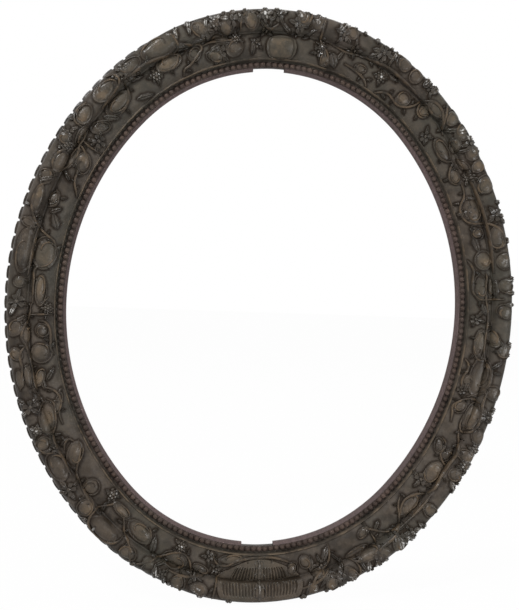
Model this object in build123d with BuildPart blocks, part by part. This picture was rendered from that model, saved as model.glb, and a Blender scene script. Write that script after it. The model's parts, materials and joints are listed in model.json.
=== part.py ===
from build123d import *
import os
from math import atan, cos, degrees, pi, radians, sin, sqrt
from typing import NamedTuple

# Oval picture frame with vine ornament, hung upright: X is across, Z is up and the front faces -Y.
# The origin is the middle of the oval, half way between the wall and the highest ornament.
# A place across the band is measured outwards from the sight edge, and a height from the wall.
# A place round the band is its clock: degrees clockwise from the top, by length along the band.

# Sight opening and band
sight_width = 488.0
sight_height = 580.0
moulding_width = 71.0
# height of an end arc's centre, as a share of how far half the height passes half the width
end_centre_share = 1.62

# Back ring, with the rebate in front of its recess
ring_height = 20.0
rebate_width = 8.0
recess_height = 7.5
recess_edge = 46.0
back_edge = 58.0
body_edge = 62.5

# Sight lip, in two lengths with a gap at the top and one at the bottom
lip_width = 3.5
lip_height = 5.0
lip_bevel = 1.3
lip_gap_top_clocks = (352.8, 361.3)
lip_gap_bottom_clocks = (176.0, 184.8)

# Front moulding: bead seat, cove, ridge, convex panel, valley and outer roll
seat_height = 26.5
seat_edge = 10.4
cove_across = 11.4
cove_height = 25.4
ridge_foot = 12.4
ridge_foot_height = 27.5
ridge_across = 13.3
ridge_height = 33.5
panel_start = 15.0
panel_start_height = 32.4
panel_crest = 28.0
panel_crest_height = 38.8
panel_end = 42.0
panel_end_height = 38.2
valley_across = 44.2
valley_height = 37.4
roll_across = 55.5
roll_base = 36.0
roll_radius = 10.5
roll_start_height = 39.0
rim_seat_height = 31.0
body_edge_height = 28.0

# Pearls on their fillet
bead_pitch = 7.35
bead_radius = 3.2
bead_lift = 1.3
fillet_thickness = 0.9
fillet_margin = 0.3

# Leaf rim, glued round the outer edge
rim_base_height = 20.6
rim_crest = 69.6
rim_crest_height = 28.6
rim_nose_height = 25.2
rim_heel = 70.0
rim_heel_height = 22.2
leaf_pitch = 17.3
notch_floor = 66.8
notch_root = 0.8
notch_mouth = 2.6

# Ornament: how far each kind stands off the moulding
dome_lift = 2.2
leaf_lift = 2.8
tendril_lift = 3.2
tendril_width = 2.8
grape_lift = 4.0
flower_lift = 5.0
shield_lift = 3.4
fan_lift = 2.6
fan_stem_lift = 5.0
relief_margin_angle = 14.0
least_relief_area = 6.0
shield_corner = 2.8

# Glue between applied pieces and their seats, and the ease of holes in the wood
glue_line = 0.3
hole_ease = 0.2

# Dowels across the joints, and the screws that hold the two rings together
dowel_radius = 4.0
dowel_length = 40.0
dowel_inner = 30.0
dowel_outer = 54.0
front_dowel_inner_height = 28.0
front_dowel_outer_height = 31.0
back_dowel_inner_height = 13.7
back_dowel_outer_height = 10.0
ring_screw_across = 38.0
ring_screw_head = 4.0
ring_screw_shank = 2.0
ring_screw_length = 24.0
ring_screw_count = 8

# Hanger: a plate with a rolled barrel, and a D-shaped ring through it
hanger_across = 30.0
plate_across = 20.0
plate_length = 46.0
plate_width = 10.0
plate_thickness = 1.5
tongue_width = 12.0
barrel_radius = 3.1
wire_radius = 1.5
ring_bow = 11.5
running_clearance = 0.1
resting_gap = 0.3
plate_screw_pitch = 36.0
plate_screw_head = 2.6
plate_screw_shank = 1.4
plate_screw_length = 11.0

# Turn buttons over the rebate
button_across = 21.0
button_tip = 1.5
button_width = 10.0
button_thickness = 1.6
button_heel = 5.0
button_screw_head = 3.2
button_screw_head_height = 1.5
button_screw_shank = 1.5
button_screw_length = 14.0
button_clocks = {
    "upper_right": 30,
    "right": 90,
    "lower_right": 150,
    "lower_left": 210,
    "left": 270,
    "upper_left": 330,
}

half_width = sight_width / 2
half_height = sight_height / 2
total_depth = roll_base + roll_radius + flower_lift
wall = total_depth / 2
roll_start = roll_across - sqrt(roll_radius**2 - (roll_start_height - roll_base) ** 2)
roll_edge = roll_across + roll_radius

# The oval is four tangent arcs: a short one at each end and a long one at each side.
excess = half_height - half_width
end_centre = end_centre_share * excess
side_centre = excess * (2 * end_centre - excess) / (2 * (end_centre - excess))
end_radius = half_height - end_centre
side_radius = half_width + side_centre
joint_heading = degrees(atan(side_centre / end_centre))


class Arc(NamedTuple):
    """One arc of the oval: its centre, its radius at the sight edge, and the headings that it spans."""

    name: str
    x: float
    z: float
    radius: float
    start: float
    end: float


arcs = [
    Arc("top", 0, end_centre, end_radius, -joint_heading, joint_heading),
    Arc("right", -side_centre, 0, side_radius, joint_heading, 180 - joint_heading),
    Arc("bottom", 0, -end_centre, end_radius, 180 - joint_heading, 180 + joint_heading),
    Arc("left", side_centre, 0, side_radius, 180 + joint_heading, 360 - joint_heading),
]
quarter_names = ["upper_right", "lower_right", "lower_left", "upper_left"]

# Lengths along the middle of the band, from the top to the first joint and to the right
band_middle = moulding_width / 2
end_length = (end_radius + band_middle) * radians(joint_heading)
side_length = (side_radius + band_middle) * radians(90 - joint_heading)
quarter_length = end_length + side_length

# Ornament places, as clock and share of the band's width, then sizes as shares of that width.
# Domes: clock, across, half length along the band, half width, and turn outwards in degrees.
dome_shares = [
    (1.0, 0.79, 0.07, 0.07, 0),
    (14.5, 0.86, 0.09, 0.09, 0),
    (17.6, 0.40, 0.08, 0.07, 10),
    (27.0, 0.86, 0.10, 0.09, 0),
    (30.6, 0.80, 0.09, 0.09, 0),
    (32.8, 0.43, 0.15, 0.13, 0),
    (37.5, 0.55, 0.14, 0.13, 0),
    (39.6, 0.71, 0.21, 0.06, 0),
    (48.0, 0.43, 0.24, 0.10, 0),
    (51.6, 0.83, 0.15, 0.14, 0),
    (55.6, 0.79, 0.10, 0.09, 0),
    (54.5, 0.43, 0.16, 0.09, 0),
    (71.7, 0.79, 0.17, 0.08, 0),
    (82.5, 0.40, 0.22, 0.12, 0),
    (89.2, 0.71, 0.17, 0.09, 0),
    (95.3, 0.63, 0.17, 0.08, 0),
    (97.3, 0.42, 0.22, 0.09, 0),
    (104.5, 0.52, 0.26, 0.14, 0),
    (107.5, 0.84, 0.16, 0.12, 0),
    (114.0, 0.60, 0.27, 0.12, 0),
    (112.9, 0.37, 0.15, 0.07, 0),
    (124.8, 0.54, 0.11, 0.08, 0),
    (123.7, 0.33, 0.14, 0.09, 0),
    (139.4, 0.56, 0.26, 0.17, 0),
    (145.3, 0.48, 0.19, 0.13, 20),
    (153.0, 0.35, 0.17, 0.06, 0),
    (155.7, 0.59, 0.22, 0.08, 0),
    (172.5, 0.47, 0.10, 0.12, 0),
    (201.0, 0.51, 0.28, 0.12, 0),
    (211.2, 0.43, 0.21, 0.14, 0),
    (216.8, 0.82, 0.15, 0.12, 0),
    (219.2, 0.62, 0.10, 0.09, 0),
    (217.8, 0.41, 0.20, 0.09, 0),
    (225.2, 0.47, 0.22, 0.14, 0),
    (234.5, 0.77, 0.21, 0.12, 0),
    (234.3, 0.49, 0.22, 0.11, 12),
    (240.0, 0.81, 0.13, 0.12, 0),
    (245.0, 0.60, 0.27, 0.09, 12),
    (247.7, 0.39, 0.16, 0.08, 0),
    (263.6, 0.66, 0.18, 0.08, 0),
    (264.5, 0.40, 0.13, 0.08, 0),
    (272.5, 0.42, 0.17, 0.09, 0),
    (281.3, 0.43, 0.23, 0.12, 0),
    (291.4, 0.80, 0.23, 0.06, 0),
    (293.5, 0.55, 0.15, 0.08, 0),
    (301.5, 0.68, 0.18, 0.09, 0),
    (303.3, 0.40, 0.15, 0.08, 0),
    (319.0, 0.84, 0.17, 0.12, 0),
    (319.8, 0.53, 0.18, 0.12, 0),
    (330.3, 0.84, 0.33, 0.12, 0),
    (332.8, 0.56, 0.18, 0.11, 0),
    (352.8, 0.79, 0.11, 0.10, 0),
]
# Leaves: clock, across, half length, half width, and turn outwards in degrees.
leaf_shares = [
    (4.2, 0.88, 0.12, 0.06, 85),
    (6.8, 0.87, 0.13, 0.08, 90),
    (10.0, 0.36, 0.15, 0.06, -70),
    (12.6, 0.35, 0.14, 0.09, -60),
    (12.3, 0.88, 0.13, 0.06, 60),
    (24.6, 0.88, 0.10, 0.05, 90),
    (27.2, 0.59, 0.10, 0.05, 0),
    (33.3, 0.88, 0.11, 0.05, 80),
    (35.8, 0.88, 0.12, 0.06, 75),
    (44.8, 0.72, 0.11, 0.05, 50),
    (46.5, 0.85, 0.13, 0.07, 60),
    (47.4, 0.65, 0.12, 0.05, -10),
    (68.5, 0.45, 0.12, 0.07, 60),
    (72.0, 0.40, 0.16, 0.07, 10),
    (81.5, 0.88, 0.13, 0.05, 90),
    (84.0, 0.88, 0.13, 0.05, 90),
    (86.8, 0.87, 0.12, 0.05, 90),
    (83.0, 0.65, 0.17, 0.05, 0),
    (88.0, 0.45, 0.12, 0.06, 20),
    (96.5, 0.88, 0.12, 0.07, 90),
    (107.0, 0.36, 0.13, 0.05, -10),
    (130.0, 0.88, 0.14, 0.06, 60),
    (137.7, 0.80, 0.12, 0.07, 90),
    (141.0, 0.88, 0.12, 0.05, 90),
    (143.5, 0.88, 0.12, 0.05, 85),
    (147.0, 0.85, 0.16, 0.10, 70),
    (148.9, 0.37, 0.11, 0.05, 30),
    (155.6, 0.86, 0.12, 0.06, 60),
    (163.6, 0.38, 0.16, 0.07, 50),
    (167.6, 0.48, 0.17, 0.06, 80),
    (193.5, 0.83, 0.18, 0.07, -15),
    (194.5, 0.54, 0.14, 0.06, -5),
    (203.4, 0.84, 0.14, 0.06, -60),
    (206.5, 0.48, 0.17, 0.07, -70),
    (238.3, 0.49, 0.10, 0.04, -60),
    (252.5, 0.50, 0.14, 0.05, 0),
    (254.0, 0.36, 0.14, 0.05, -40),
    (254.5, 0.70, 0.20, 0.05, 0),
    (274.7, 0.73, 0.13, 0.07, 80),
    (281.3, 0.81, 0.31, 0.10, 5),
    (287.2, 0.80, 0.11, 0.05, 80),
    (288.7, 0.41, 0.14, 0.08, 30),
    (291.0, 0.45, 0.11, 0.05, -50),
    (282.6, 0.63, 0.16, 0.05, 0),
    (296.6, 0.76, 0.14, 0.05, -50),
    (308.0, 0.63, 0.14, 0.06, 5),
    (312.0, 0.45, 0.14, 0.07, -50),
    (315.2, 0.43, 0.15, 0.06, -50),
    (324.3, 0.29, 0.16, 0.05, -20),
    (336.9, 0.86, 0.13, 0.05, 70),
    (339.8, 0.86, 0.13, 0.05, 70),
    (340.8, 0.62, 0.16, 0.05, 0),
    (348.7, 0.31, 0.15, 0.07, 0),
    (352.8, 0.37, 0.13, 0.05, 80),
]
# Flowers: clock, across and radius.
flower_shares = [
    (22.2, 0.79, 0.12),
    (42.4, 0.32, 0.10),
    (63.9, 0.44, 0.12),
    (66.3, 0.82, 0.12),
    (90.4, 0.32, 0.10),
    (108.6, 0.30, 0.08),
    (112.6, 0.83, 0.12),
    (133.0, 0.37, 0.12),
    (152.4, 0.82, 0.11),
    (161.2, 0.79, 0.15),
    (193.0, 0.30, 0.09),
    (201.9, 0.80, 0.08),
    (229.0, 0.80, 0.12),
    (248.2, 0.79, 0.13),
    (270.4, 0.79, 0.13),
    (309.2, 0.36, 0.12),
    (307.0, 0.84, 0.10),
    (323.7, 0.83, 0.11),
    (344.9, 0.37, 0.11),
    (348.6, 0.82, 0.12),
    (358.4, 0.83, 0.10),
]
# Grape clusters: clock, across and the radius of one grape.
grape_shares = [
    (3.3, 0.84, 0.030),
    (9.0, 0.49, 0.024),
    (24.6, 0.47, 0.028),
    (56.1, 0.61, 0.028),
    (120.6, 0.86, 0.030),
    (124.7, 0.86, 0.030),
    (200.3, 0.30, 0.028),
    (221.7, 0.30, 0.030),
    (243.2, 0.82, 0.026),
    (268.9, 0.30, 0.026),
    (304.5, 0.72, 0.026),
    (329.0, 0.44, 0.030),
    (345.0, 0.82, 0.030),
    (349.0, 0.55, 0.028),
    (355.6, 0.84, 0.030),
]
# Tendrils: each an arc through three places, as clock and across.
tendril_shares = [
    ((15.5, 0.34), (18.5, 0.31), (22.6, 0.24)),
    ((25.8, 0.24), (28.5, 0.31), (33.0, 0.28)),
    ((18.2, 0.38), (19.9, 0.47), (20.8, 0.36)),
    ((33.0, 0.28), (35.2, 0.42), (35.6, 0.62)),
    ((36.0, 0.64), (38.8, 0.78), (43.0, 0.65)),
    ((39.2, 0.90), (41.0, 0.82), (43.3, 0.66)),
    ((11.5, 0.57), (13.5, 0.54), (17.0, 0.64)),
    ((24.2, 0.66), (25.3, 0.56), (25.2, 0.50)),
    ((56.8, 0.57), (59.0, 0.48), (61.4, 0.34)),
    ((60.8, 0.42), (63.9, 0.27), (67.2, 0.44)),
    ((60.8, 0.46), (63.9, 0.60), (67.2, 0.47)),
    ((68.0, 0.70), (70.5, 0.87), (74.4, 0.80)),
    ((75.5, 0.24), (77.2, 0.285), (79.4, 0.29)),
    ((85.9, 0.70), (86.3, 0.58), (85.9, 0.44)),
    ((93.0, 0.48), (97.5, 0.32), (100.2, 0.44)),
    ((100.0, 0.58), (104.0, 0.69), (109.6, 0.46)),
    ((100.8, 0.27), (103.0, 0.31), (107.0, 0.28)),
    ((111.0, 0.27), (114.0, 0.25), (117.0, 0.30)),
    ((110.8, 0.71), (114.5, 0.74), (118.4, 0.60)),
    ((118.4, 0.48), (120.0, 0.58), (122.0, 0.67)),
    ((121.4, 0.28), (123.0, 0.43), (126.2, 0.44)),
    ((132.6, 0.66), (134.4, 0.56), (136.2, 0.44)),
    ((133.4, 0.50), (134.8, 0.60), (135.8, 0.70)),
    ((135.6, 0.62), (139.0, 0.37), (143.2, 0.62)),
    ((140.0, 0.28), (142.5, 0.40), (145.6, 0.66)),
    ((150.5, 0.47), (156.0, 0.47), (163.0, 0.56)),
    ((163.5, 0.58), (167.0, 0.72), (170.4, 0.78)),
    ((160.0, 0.68), (163.0, 0.60), (165.4, 0.48)),
    ((190.6, 0.45), (190.9, 0.65), (191.2, 0.86)),
    ((196.3, 0.64), (200.5, 0.39), (205.4, 0.62)),
    ((204.5, 0.71), (206.5, 0.79), (208.0, 0.90)),
    ((208.6, 0.90), (209.4, 0.82), (210.4, 0.70)),
    ((210.4, 0.69), (212.2, 0.68), (214.0, 0.66)),
    ((214.0, 0.70), (215.6, 0.60), (217.6, 0.54)),
    ((207.8, 0.58), (208.4, 0.42), (210.2, 0.28)),
    ((229.2, 0.64), (229.2, 0.50), (228.4, 0.34)),
    ((231.2, 0.52), (234.6, 0.35), (238.0, 0.40)),
    ((240.4, 0.60), (241.8, 0.46), (242.4, 0.30)),
    ((251.0, 0.76), (254.5, 0.82), (258.6, 0.78)),
    ((257.6, 0.27), (260.0, 0.33), (262.4, 0.29)),
    ((267.3, 0.24), (267.4, 0.44), (267.2, 0.64)),
    ((277.6, 0.54), (281.2, 0.28), (285.4, 0.42)),
    ((288.2, 0.72), (291.4, 0.89), (295.2, 0.74)),
    ((295.0, 0.25), (297.5, 0.31), (300.4, 0.42)),
    ((302.4, 0.62), (304.5, 0.64), (306.0, 0.80)),
    ((315.0, 0.62), (318.5, 0.70), (322.3, 0.70)),
    ((319.4, 0.39), (322.2, 0.50), (322.6, 0.64)),
    ((324.0, 0.72), (327.5, 0.71), (331.0, 0.71)),
    ((335.0, 0.28), (338.0, 0.33), (340.3, 0.48)),
    ((337.5, 0.68), (341.0, 0.54), (345.0, 0.60)),
    ((346.6, 0.44), (346.2, 0.30), (346.4, 0.24)),
]
# Shield at the top and fan at the bottom: clock and across round the outline.
shield_shares = [(355.0, 0.58), (355.4, 0.235), (360.4, 0.235), (362.9, 0.36), (362.9, 0.58)]
fan_inner_shares = [(170.6, 0.42), (180.0, 0.245), (189.6, 0.44)]
fan_outer_shares = [(188.2, 0.88), (180.0, 0.91), (171.8, 0.88)]
fan_stem_shares = [(180.3, 0.28), (180.2, 0.60), (180.1, 0.86)]
fan_stem_width = 6.0
# The size of a petal and its place, and the spread of a cluster, as shares of the flower and the grape
petal_share = 0.42
petal_place_share = 0.58
grape_place_share = 1.8
petal_count = 5
grapes_round = 6


def heading_at(clock):
    """The direction that the band faces outwards at a clock, in degrees clockwise from up."""
    quarter, along = divmod(clock % 360, 90)
    if quarter % 2:
        along = 90 - along
    length = along / 90 * quarter_length
    if length < end_length:
        turn = degrees(length / (end_radius + band_middle))
    else:
        turn = joint_heading + degrees((length - end_length) / (side_radius + band_middle))
    return [turn, 180 - turn, 180 + turn, 360 - turn][int(quarter)]


def arc_at(heading):
    """The arc that holds a heading."""
    heading = (heading + joint_heading) % 360 - joint_heading
    return next(arc for arc in arcs if heading <= arc.end)


def spot(arc, heading, across, turn=0):
    """A place on the front view, with its own x along the band and its y outwards."""
    reach = arc.radius + across
    x = arc.x + reach * sin(radians(heading))
    z = arc.z + reach * cos(radians(heading))
    return Location((x, z, 0), (0, 0, turn - heading))


def clock_spot(clock, across_share, turn=0):
    """A place on the front view by its clock and its share of the band."""
    heading = heading_at(clock)
    return spot(arc_at(heading), heading, across_share * moulding_width, turn)


def section_plane(arc, heading):
    """The plane of the moulding's section: x from the arc's centre outwards, y towards the front."""
    out = Vector(sin(radians(heading)), 0, cos(radians(heading)))
    return Plane(origin=(arc.x, 0, arc.z), x_dir=out, z_dir=out.cross(Vector(0, -1, 0)))


def at(arc, across, height):
    """A point of the section, across the band and above the wall."""
    return (arc.radius + across, height - wall)


def back_plane(arc, heading, across, height):
    """A plane at a place behind the frame that faces the front, x along the band and y outwards."""
    place = spot(arc, heading, across).position
    along = Vector(cos(radians(heading)), 0, -sin(radians(heading)))
    return Plane(origin=(place.X, wall - height, place.Y), x_dir=along, z_dir=(0, -1, 0))


def arc_axis(arc):
    """The line that an arc's sections turn round, clockwise from the front."""
    return Axis((arc.x, 0, arc.z), (0, 1, 0))


def ornamented_line(arc, lift):
    """The panel, valley and roll of the front, raised by a lift."""
    ThreePointArc(
        at(arc, panel_start, panel_start_height + lift),
        at(arc, panel_crest, panel_crest_height + lift),
        at(arc, panel_end, panel_end_height + lift),
    )
    ThreePointArc(
        at(arc, panel_end, panel_end_height + lift),
        at(arc, valley_across, valley_height + lift),
        at(arc, roll_start, roll_start_height + lift),
    )
    ThreePointArc(
        at(arc, roll_start, roll_start_height + lift),
        at(arc, roll_across, roll_base + roll_radius + lift),
        at(arc, roll_edge, roll_base + lift),
    )


def moulding_section(arc):
    """The section of the front moulding."""
    with BuildSketch(section_plane(arc, arc.start)) as section:
        with BuildLine():
            ornamented_line(arc, 0)
            Polyline(
                at(arc, roll_edge, roll_base),
                at(arc, roll_edge, rim_seat_height),
                at(arc, body_edge, body_edge_height),
                at(arc, body_edge, ring_height),
                at(arc, lip_width, ring_height),
                at(arc, lip_width, seat_height),
                at(arc, seat_edge, seat_height),
                at(arc, cove_across, cove_height),
                at(arc, ridge_foot, ridge_foot_height),
                at(arc, ridge_across, ridge_height),
                at(arc, panel_start, panel_start_height),
            )
        make_face()
    return section.sketch


def relief_section(arc, heading, lift):
    """The space that ornament of one height takes on the front of the moulding."""
    with BuildSketch(section_plane(arc, heading)) as section:
        with BuildLine():
            ornamented_line(arc, glue_line)
            ornamented_line(arc, lift)
            for across, height in [(panel_start, panel_start_height), (roll_edge, roll_base)]:
                Line(at(arc, across, height + glue_line), at(arc, across, height + lift))
        make_face()
    return section.sketch


def outline_section(arc, heading, points):
    """A section given by the corners of its outline, as across and height."""
    with BuildSketch(section_plane(arc, heading)) as section:
        with BuildLine():
            Polyline(*[at(arc, across, height) for across, height in points], close=True)
        make_face()
    return section.sketch


def span_length(first, last):
    """How far one heading lies clockwise after another."""
    return (last - first) % 360


def finish(part, name):
    """Names a sub-part and writes it out."""
    part.label = name
    export_step(part, f"parts/{name}.step")


def ease(mode):
    """How much larger than the piece in it a hole in the wood is."""
    return hole_ease if mode == Mode.SUBTRACT else 0


def dowel(arc, across, height, length, mode):
    """A dowel through the joint at the start of an arc, or the hole for one."""
    place = spot(arc, arc.start, across).position
    along = (cos(radians(arc.start)), 0, -sin(radians(arc.start)))
    with BuildSketch(Plane(origin=(place.X, wall - height, place.Y), z_dir=along)) as end:
        Circle(dowel_radius + ease(mode))
    extrude(end.sketch, amount=length / 2, both=True, mode=mode)


def front_dowels(arc, mode):
    """The two dowels at the start of a front moulding's arc."""
    dowel(arc, dowel_inner, front_dowel_inner_height, dowel_length, mode)
    dowel(arc, dowel_outer, front_dowel_outer_height, dowel_length, mode)


def back_dowels(quarter, mode):
    """The two dowels where a quarter of the back ring starts."""
    arc = arcs[quarter]._replace(start=90 * quarter)
    dowel(arc, dowel_inner, back_dowel_inner_height, dowel_length, mode)
    dowel(arc, dowel_outer, back_dowel_outer_height, dowel_length, mode)


def countersunk_screw(plane, head, shank, length, mode):
    """A screw with a flush head on a plane, or the hole that it makes."""
    with BuildSketch(plane) as top:
        Circle(head + ease(mode))
    extrude(top.sketch, amount=head - shank, taper=45, mode=mode)
    with BuildSketch(plane) as core:
        Circle(shank + ease(mode))
    extrude(core.sketch, amount=length + ease(mode), mode=mode)


def ring_screw_planes():
    """Where the screws enter the back ring, on the floor of its recess."""
    step = 360 / ring_screw_count
    headings = [heading_at(step * (number + 1 / 2)) for number in range(ring_screw_count)]
    return [
        back_plane(arc_at(heading), heading, ring_screw_across, recess_height) for heading in headings
    ]


def button_plane(clock):
    """The plane of a turn button's seat, with its origin at the pivot."""
    heading = heading_at(clock)
    return back_plane(arc_at(heading), heading, button_across, recess_height)


def button_screw(clock, mode):
    """The pan-head screw that a turn button swings on, or its hole in the wood."""
    seat = button_plane(clock)
    standing = 2 * resting_gap + button_thickness
    with BuildSketch(seat.offset(-standing)) as shank:
        Circle(button_screw_shank + ease(mode))
    extrude(shank.sketch, amount=button_screw_length + ease(mode), mode=mode)
    with BuildSketch(seat.offset(-standing)) as head:
        Circle(button_screw_head)
    extrude(head.sketch, amount=-button_screw_head_height, mode=mode)


# The hanger sits at the top, over a joint of the back ring, with a screw in each quarter.
hanger_arc = arcs[0]
pivot_height = recess_height - plate_thickness - resting_gap - wire_radius


def plate_screws(mode):
    """The two flush screws of the hanger's plate, or their holes."""
    seat = back_plane(hanger_arc, 0, plate_across, recess_height - plate_thickness)
    for side in (-1, 1):
        place = Pos(side * plate_screw_pitch / 2, 0, 0) * seat
        countersunk_screw(place, plate_screw_head, plate_screw_shank, plate_screw_length, mode)


def domes(margin=0):
    """The outlines of all domes on the front view, grown by a margin."""
    with BuildSketch() as sketch:
        for clock, across, length, width, turn in dome_shares:
            with Locations(clock_spot(clock, across, turn)):
                Ellipse(length * moulding_width + margin, width * moulding_width + margin)
    return sketch.sketch


def leaf(length, width):
    """A pointed oval outline."""
    with BuildSketch(mode=Mode.PRIVATE) as sketch:
        with BuildLine():
            ThreePointArc((-length, 0), (0, width), (length, 0))
            ThreePointArc((length, 0), (0, -width), (-length, 0))
        make_face()
    return sketch.sketch


def leaves(margin=0):
    """The outlines of all leaves on the front view, grown by a margin."""
    with BuildSketch() as sketch:
        for clock, across, length, width, turn in leaf_shares:
            outline = leaf(length * moulding_width + margin, width * moulding_width + margin)
            with Locations(clock_spot(clock, across, turn)):
                add(outline)
    return sketch.sketch


def flowers(margin=0):
    """The outlines of all flowers, each a ring of petals round its eye, grown by a margin."""
    with BuildSketch() as sketch:
        for clock, across, radius in flower_shares:
            size = radius * moulding_width
            with Locations(clock_spot(clock, across)):
                Circle(petal_place_share * size)
                with PolarLocations(petal_place_share * size, petal_count):
                    Circle(petal_share * size + margin)
    return sketch.sketch


def grapes(margin=0):
    """The outlines of all grape clusters, each a ring of grapes round one, grown by a margin."""
    with BuildSketch() as sketch:
        for clock, across, radius in grape_shares:
            size = radius * moulding_width
            with Locations(clock_spot(clock, across)):
                Circle(size)
                with PolarLocations(grape_place_share * size, grapes_round):
                    Circle(size + margin)
    return sketch.sketch


def bow(places, width):
    """A band of one width with round ends, along the arc through three places."""
    points = [clock_spot(clock, across).position for clock, across in places]
    SlotArc(Edge.make_three_point_arc(*points), width)


def tendrils():
    """The outlines of all tendrils, on the front view."""
    with BuildSketch() as sketch:
        for places in tendril_shares:
            bow(places, tendril_width)
    return sketch.sketch


def shield():
    """The outline of the smooth shield at the top."""
    points = [clock_spot(clock, across).position for clock, across in shield_shares]
    with BuildSketch() as sketch:
        with BuildLine():
            Polyline(*points, close=True)
        make_face()
        fillet(sketch.vertices(), shield_corner)
    return sketch.sketch


def fan():
    """The outline of the fan at the bottom, between two bowed edges."""
    inner = [clock_spot(clock, across).position for clock, across in fan_inner_shares]
    outer = [clock_spot(clock, across).position for clock, across in fan_outer_shares]
    with BuildSketch() as sketch:
        with BuildLine():
            ThreePointArc(*inner)
            Line(inner[-1], outer[0])
            ThreePointArc(*outer)
            Line(outer[-1], inner[0])
        make_face()
    return sketch.sketch


def fan_stem():
    """The outline of the upright stem in the middle of the fan."""
    with BuildSketch() as sketch:
        bow(fan_stem_shares, fan_stem_width)
    return sketch.sketch


def left_over(outline, *taken):
    """The faces of an outline that the pieces already laid leave free, without the crumbs."""
    with BuildSketch() as sketch:
        add(outline)
        for other in taken:
            add(other, mode=Mode.SUBTRACT)
    return Sketch() + sketch.sketch.faces().filter_by(lambda face: face.area > least_relief_area)


def spans_of_quarter(quarter):
    """The lengths of arc under one quarter's ornament, each with a margin past the quarter."""
    first, last = arcs[quarter], arcs[(quarter + 1) % 4]
    middle = 90 * quarter
    return [
        (first, middle - relief_margin_angle, first.end if quarter else joint_heading),
        (last, last.start if quarter < 3 else -joint_heading, middle + 90 + relief_margin_angle),
    ]


def relief(outline_faces, spans, lift):
    """Ornament of one height, cut to its outlines where it lies on the moulding."""
    for arc, first, last in spans:
        revolve(
            relief_section(arc, first, lift),
            axis=arc_axis(arc),
            revolution_arc=span_length(first, last),
        )
    # The outlines are drawn on the front view, and reach from the wall to the highest ornament.
    standing = [Plane.XZ.offset(-wall).location * face for face in outline_faces]
    extrude(standing, amount=total_depth, mode=Mode.INTERSECT)


def quarter_of(face):
    """The quarter that an outline's middle lies in, clockwise from the top."""
    middle = face.center(CenterOf.MASS)
    if middle.X > 0:
        return 0 if middle.Y > 0 else 1
    return 3 if middle.Y > 0 else 2


os.makedirs("parts", exist_ok=True)

# Front moulding, in four lengths that meet where the arcs do
for number, arc in enumerate(arcs):
    following = arcs[(number + 1) % 4]
    with BuildPart() as front_moulding:
        revolve(moulding_section(arc), axis=arc_axis(arc), revolution_arc=arc.end - arc.start)
        front_dowels(arc, Mode.SUBTRACT)
        front_dowels(following, Mode.SUBTRACT)
        for plane in ring_screw_planes():
            countersunk_screw(
                plane, ring_screw_head, ring_screw_shank, ring_screw_length, Mode.SUBTRACT
            )
    finish(front_moulding.part, f"front_moulding_{arc.name}")

# Back ring, in four quarters whose joints lie between those of the front
back_outline = [
    (rebate_width, recess_height),
    (rebate_width, ring_height),
    (body_edge, ring_height),
    (back_edge, 0),
    (recess_edge, 0),
    (recess_edge, recess_height),
]
for quarter, name in enumerate(quarter_names):
    first, last = arcs[quarter], arcs[(quarter + 1) % 4]
    joint = first.end
    with BuildPart() as back_ring:
        revolve(
            outline_section(first, 90 * quarter, back_outline),
            axis=arc_axis(first),
            revolution_arc=joint - 90 * quarter,
        )
        revolve(
            outline_section(last, joint, back_outline),
            axis=arc_axis(last),
            revolution_arc=90 * (quarter + 1) - joint,
        )
        back_dowels(quarter, Mode.SUBTRACT)
        back_dowels((quarter + 1) % 4, Mode.SUBTRACT)
        for plane in ring_screw_planes():
            countersunk_screw(
                plane, ring_screw_head, ring_screw_shank, ring_screw_length, Mode.SUBTRACT
            )
        for clock in button_clocks.values():
            button_screw(clock, Mode.SUBTRACT)
        if quarter in (0, 3):
            plate_screws(Mode.SUBTRACT)
    finish(back_ring.part, f"back_ring_{name}")

# Dowels and screws inside the wood
with BuildPart() as moulding_dowels:
    for arc in arcs:
        front_dowels(arc, Mode.ADD)
finish(moulding_dowels.part, "front_dowels")

with BuildPart() as ring_dowels:
    for quarter in range(4):
        back_dowels(quarter, Mode.ADD)
finish(ring_dowels.part, "back_dowels")

with BuildPart() as ring_screws:
    for plane in ring_screw_planes():
        countersunk_screw(plane, ring_screw_head, ring_screw_shank, ring_screw_length, Mode.ADD)
finish(ring_screws.part, "ring_screws")

# Sight lip, a length down each side
lip_outline = [
    (0, ring_height),
    (0, ring_height + lip_height - lip_bevel),
    (lip_bevel, ring_height + lip_height),
    (lip_width - glue_line, ring_height + lip_height),
    (lip_width - glue_line, ring_height),
]
top_gap = [heading_at(clock) for clock in lip_gap_top_clocks]
bottom_gap = [heading_at(clock) for clock in lip_gap_bottom_clocks]
lip_spans = {
    "right": (top_gap[1], bottom_gap[0], arcs[0], arcs[1], arcs[2]),
    "left": (bottom_gap[1], top_gap[0], arcs[2], arcs[3], arcs[0]),
}
for name, (start, end, first, middle, last) in lip_spans.items():
    with BuildPart() as sight_lip:
        revolve(
            outline_section(first, start, lip_outline),
            axis=arc_axis(first),
            revolution_arc=span_length(start, first.end),
        )
        revolve(
            outline_section(middle, middle.start, lip_outline),
            axis=arc_axis(middle),
            revolution_arc=span_length(middle.start, middle.end),
        )
        revolve(
            outline_section(last, last.start, lip_outline),
            axis=arc_axis(last),
            revolution_arc=span_length(last.start, end),
        )
    finish(sight_lip.part, f"sight_lip_{name}")

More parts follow.
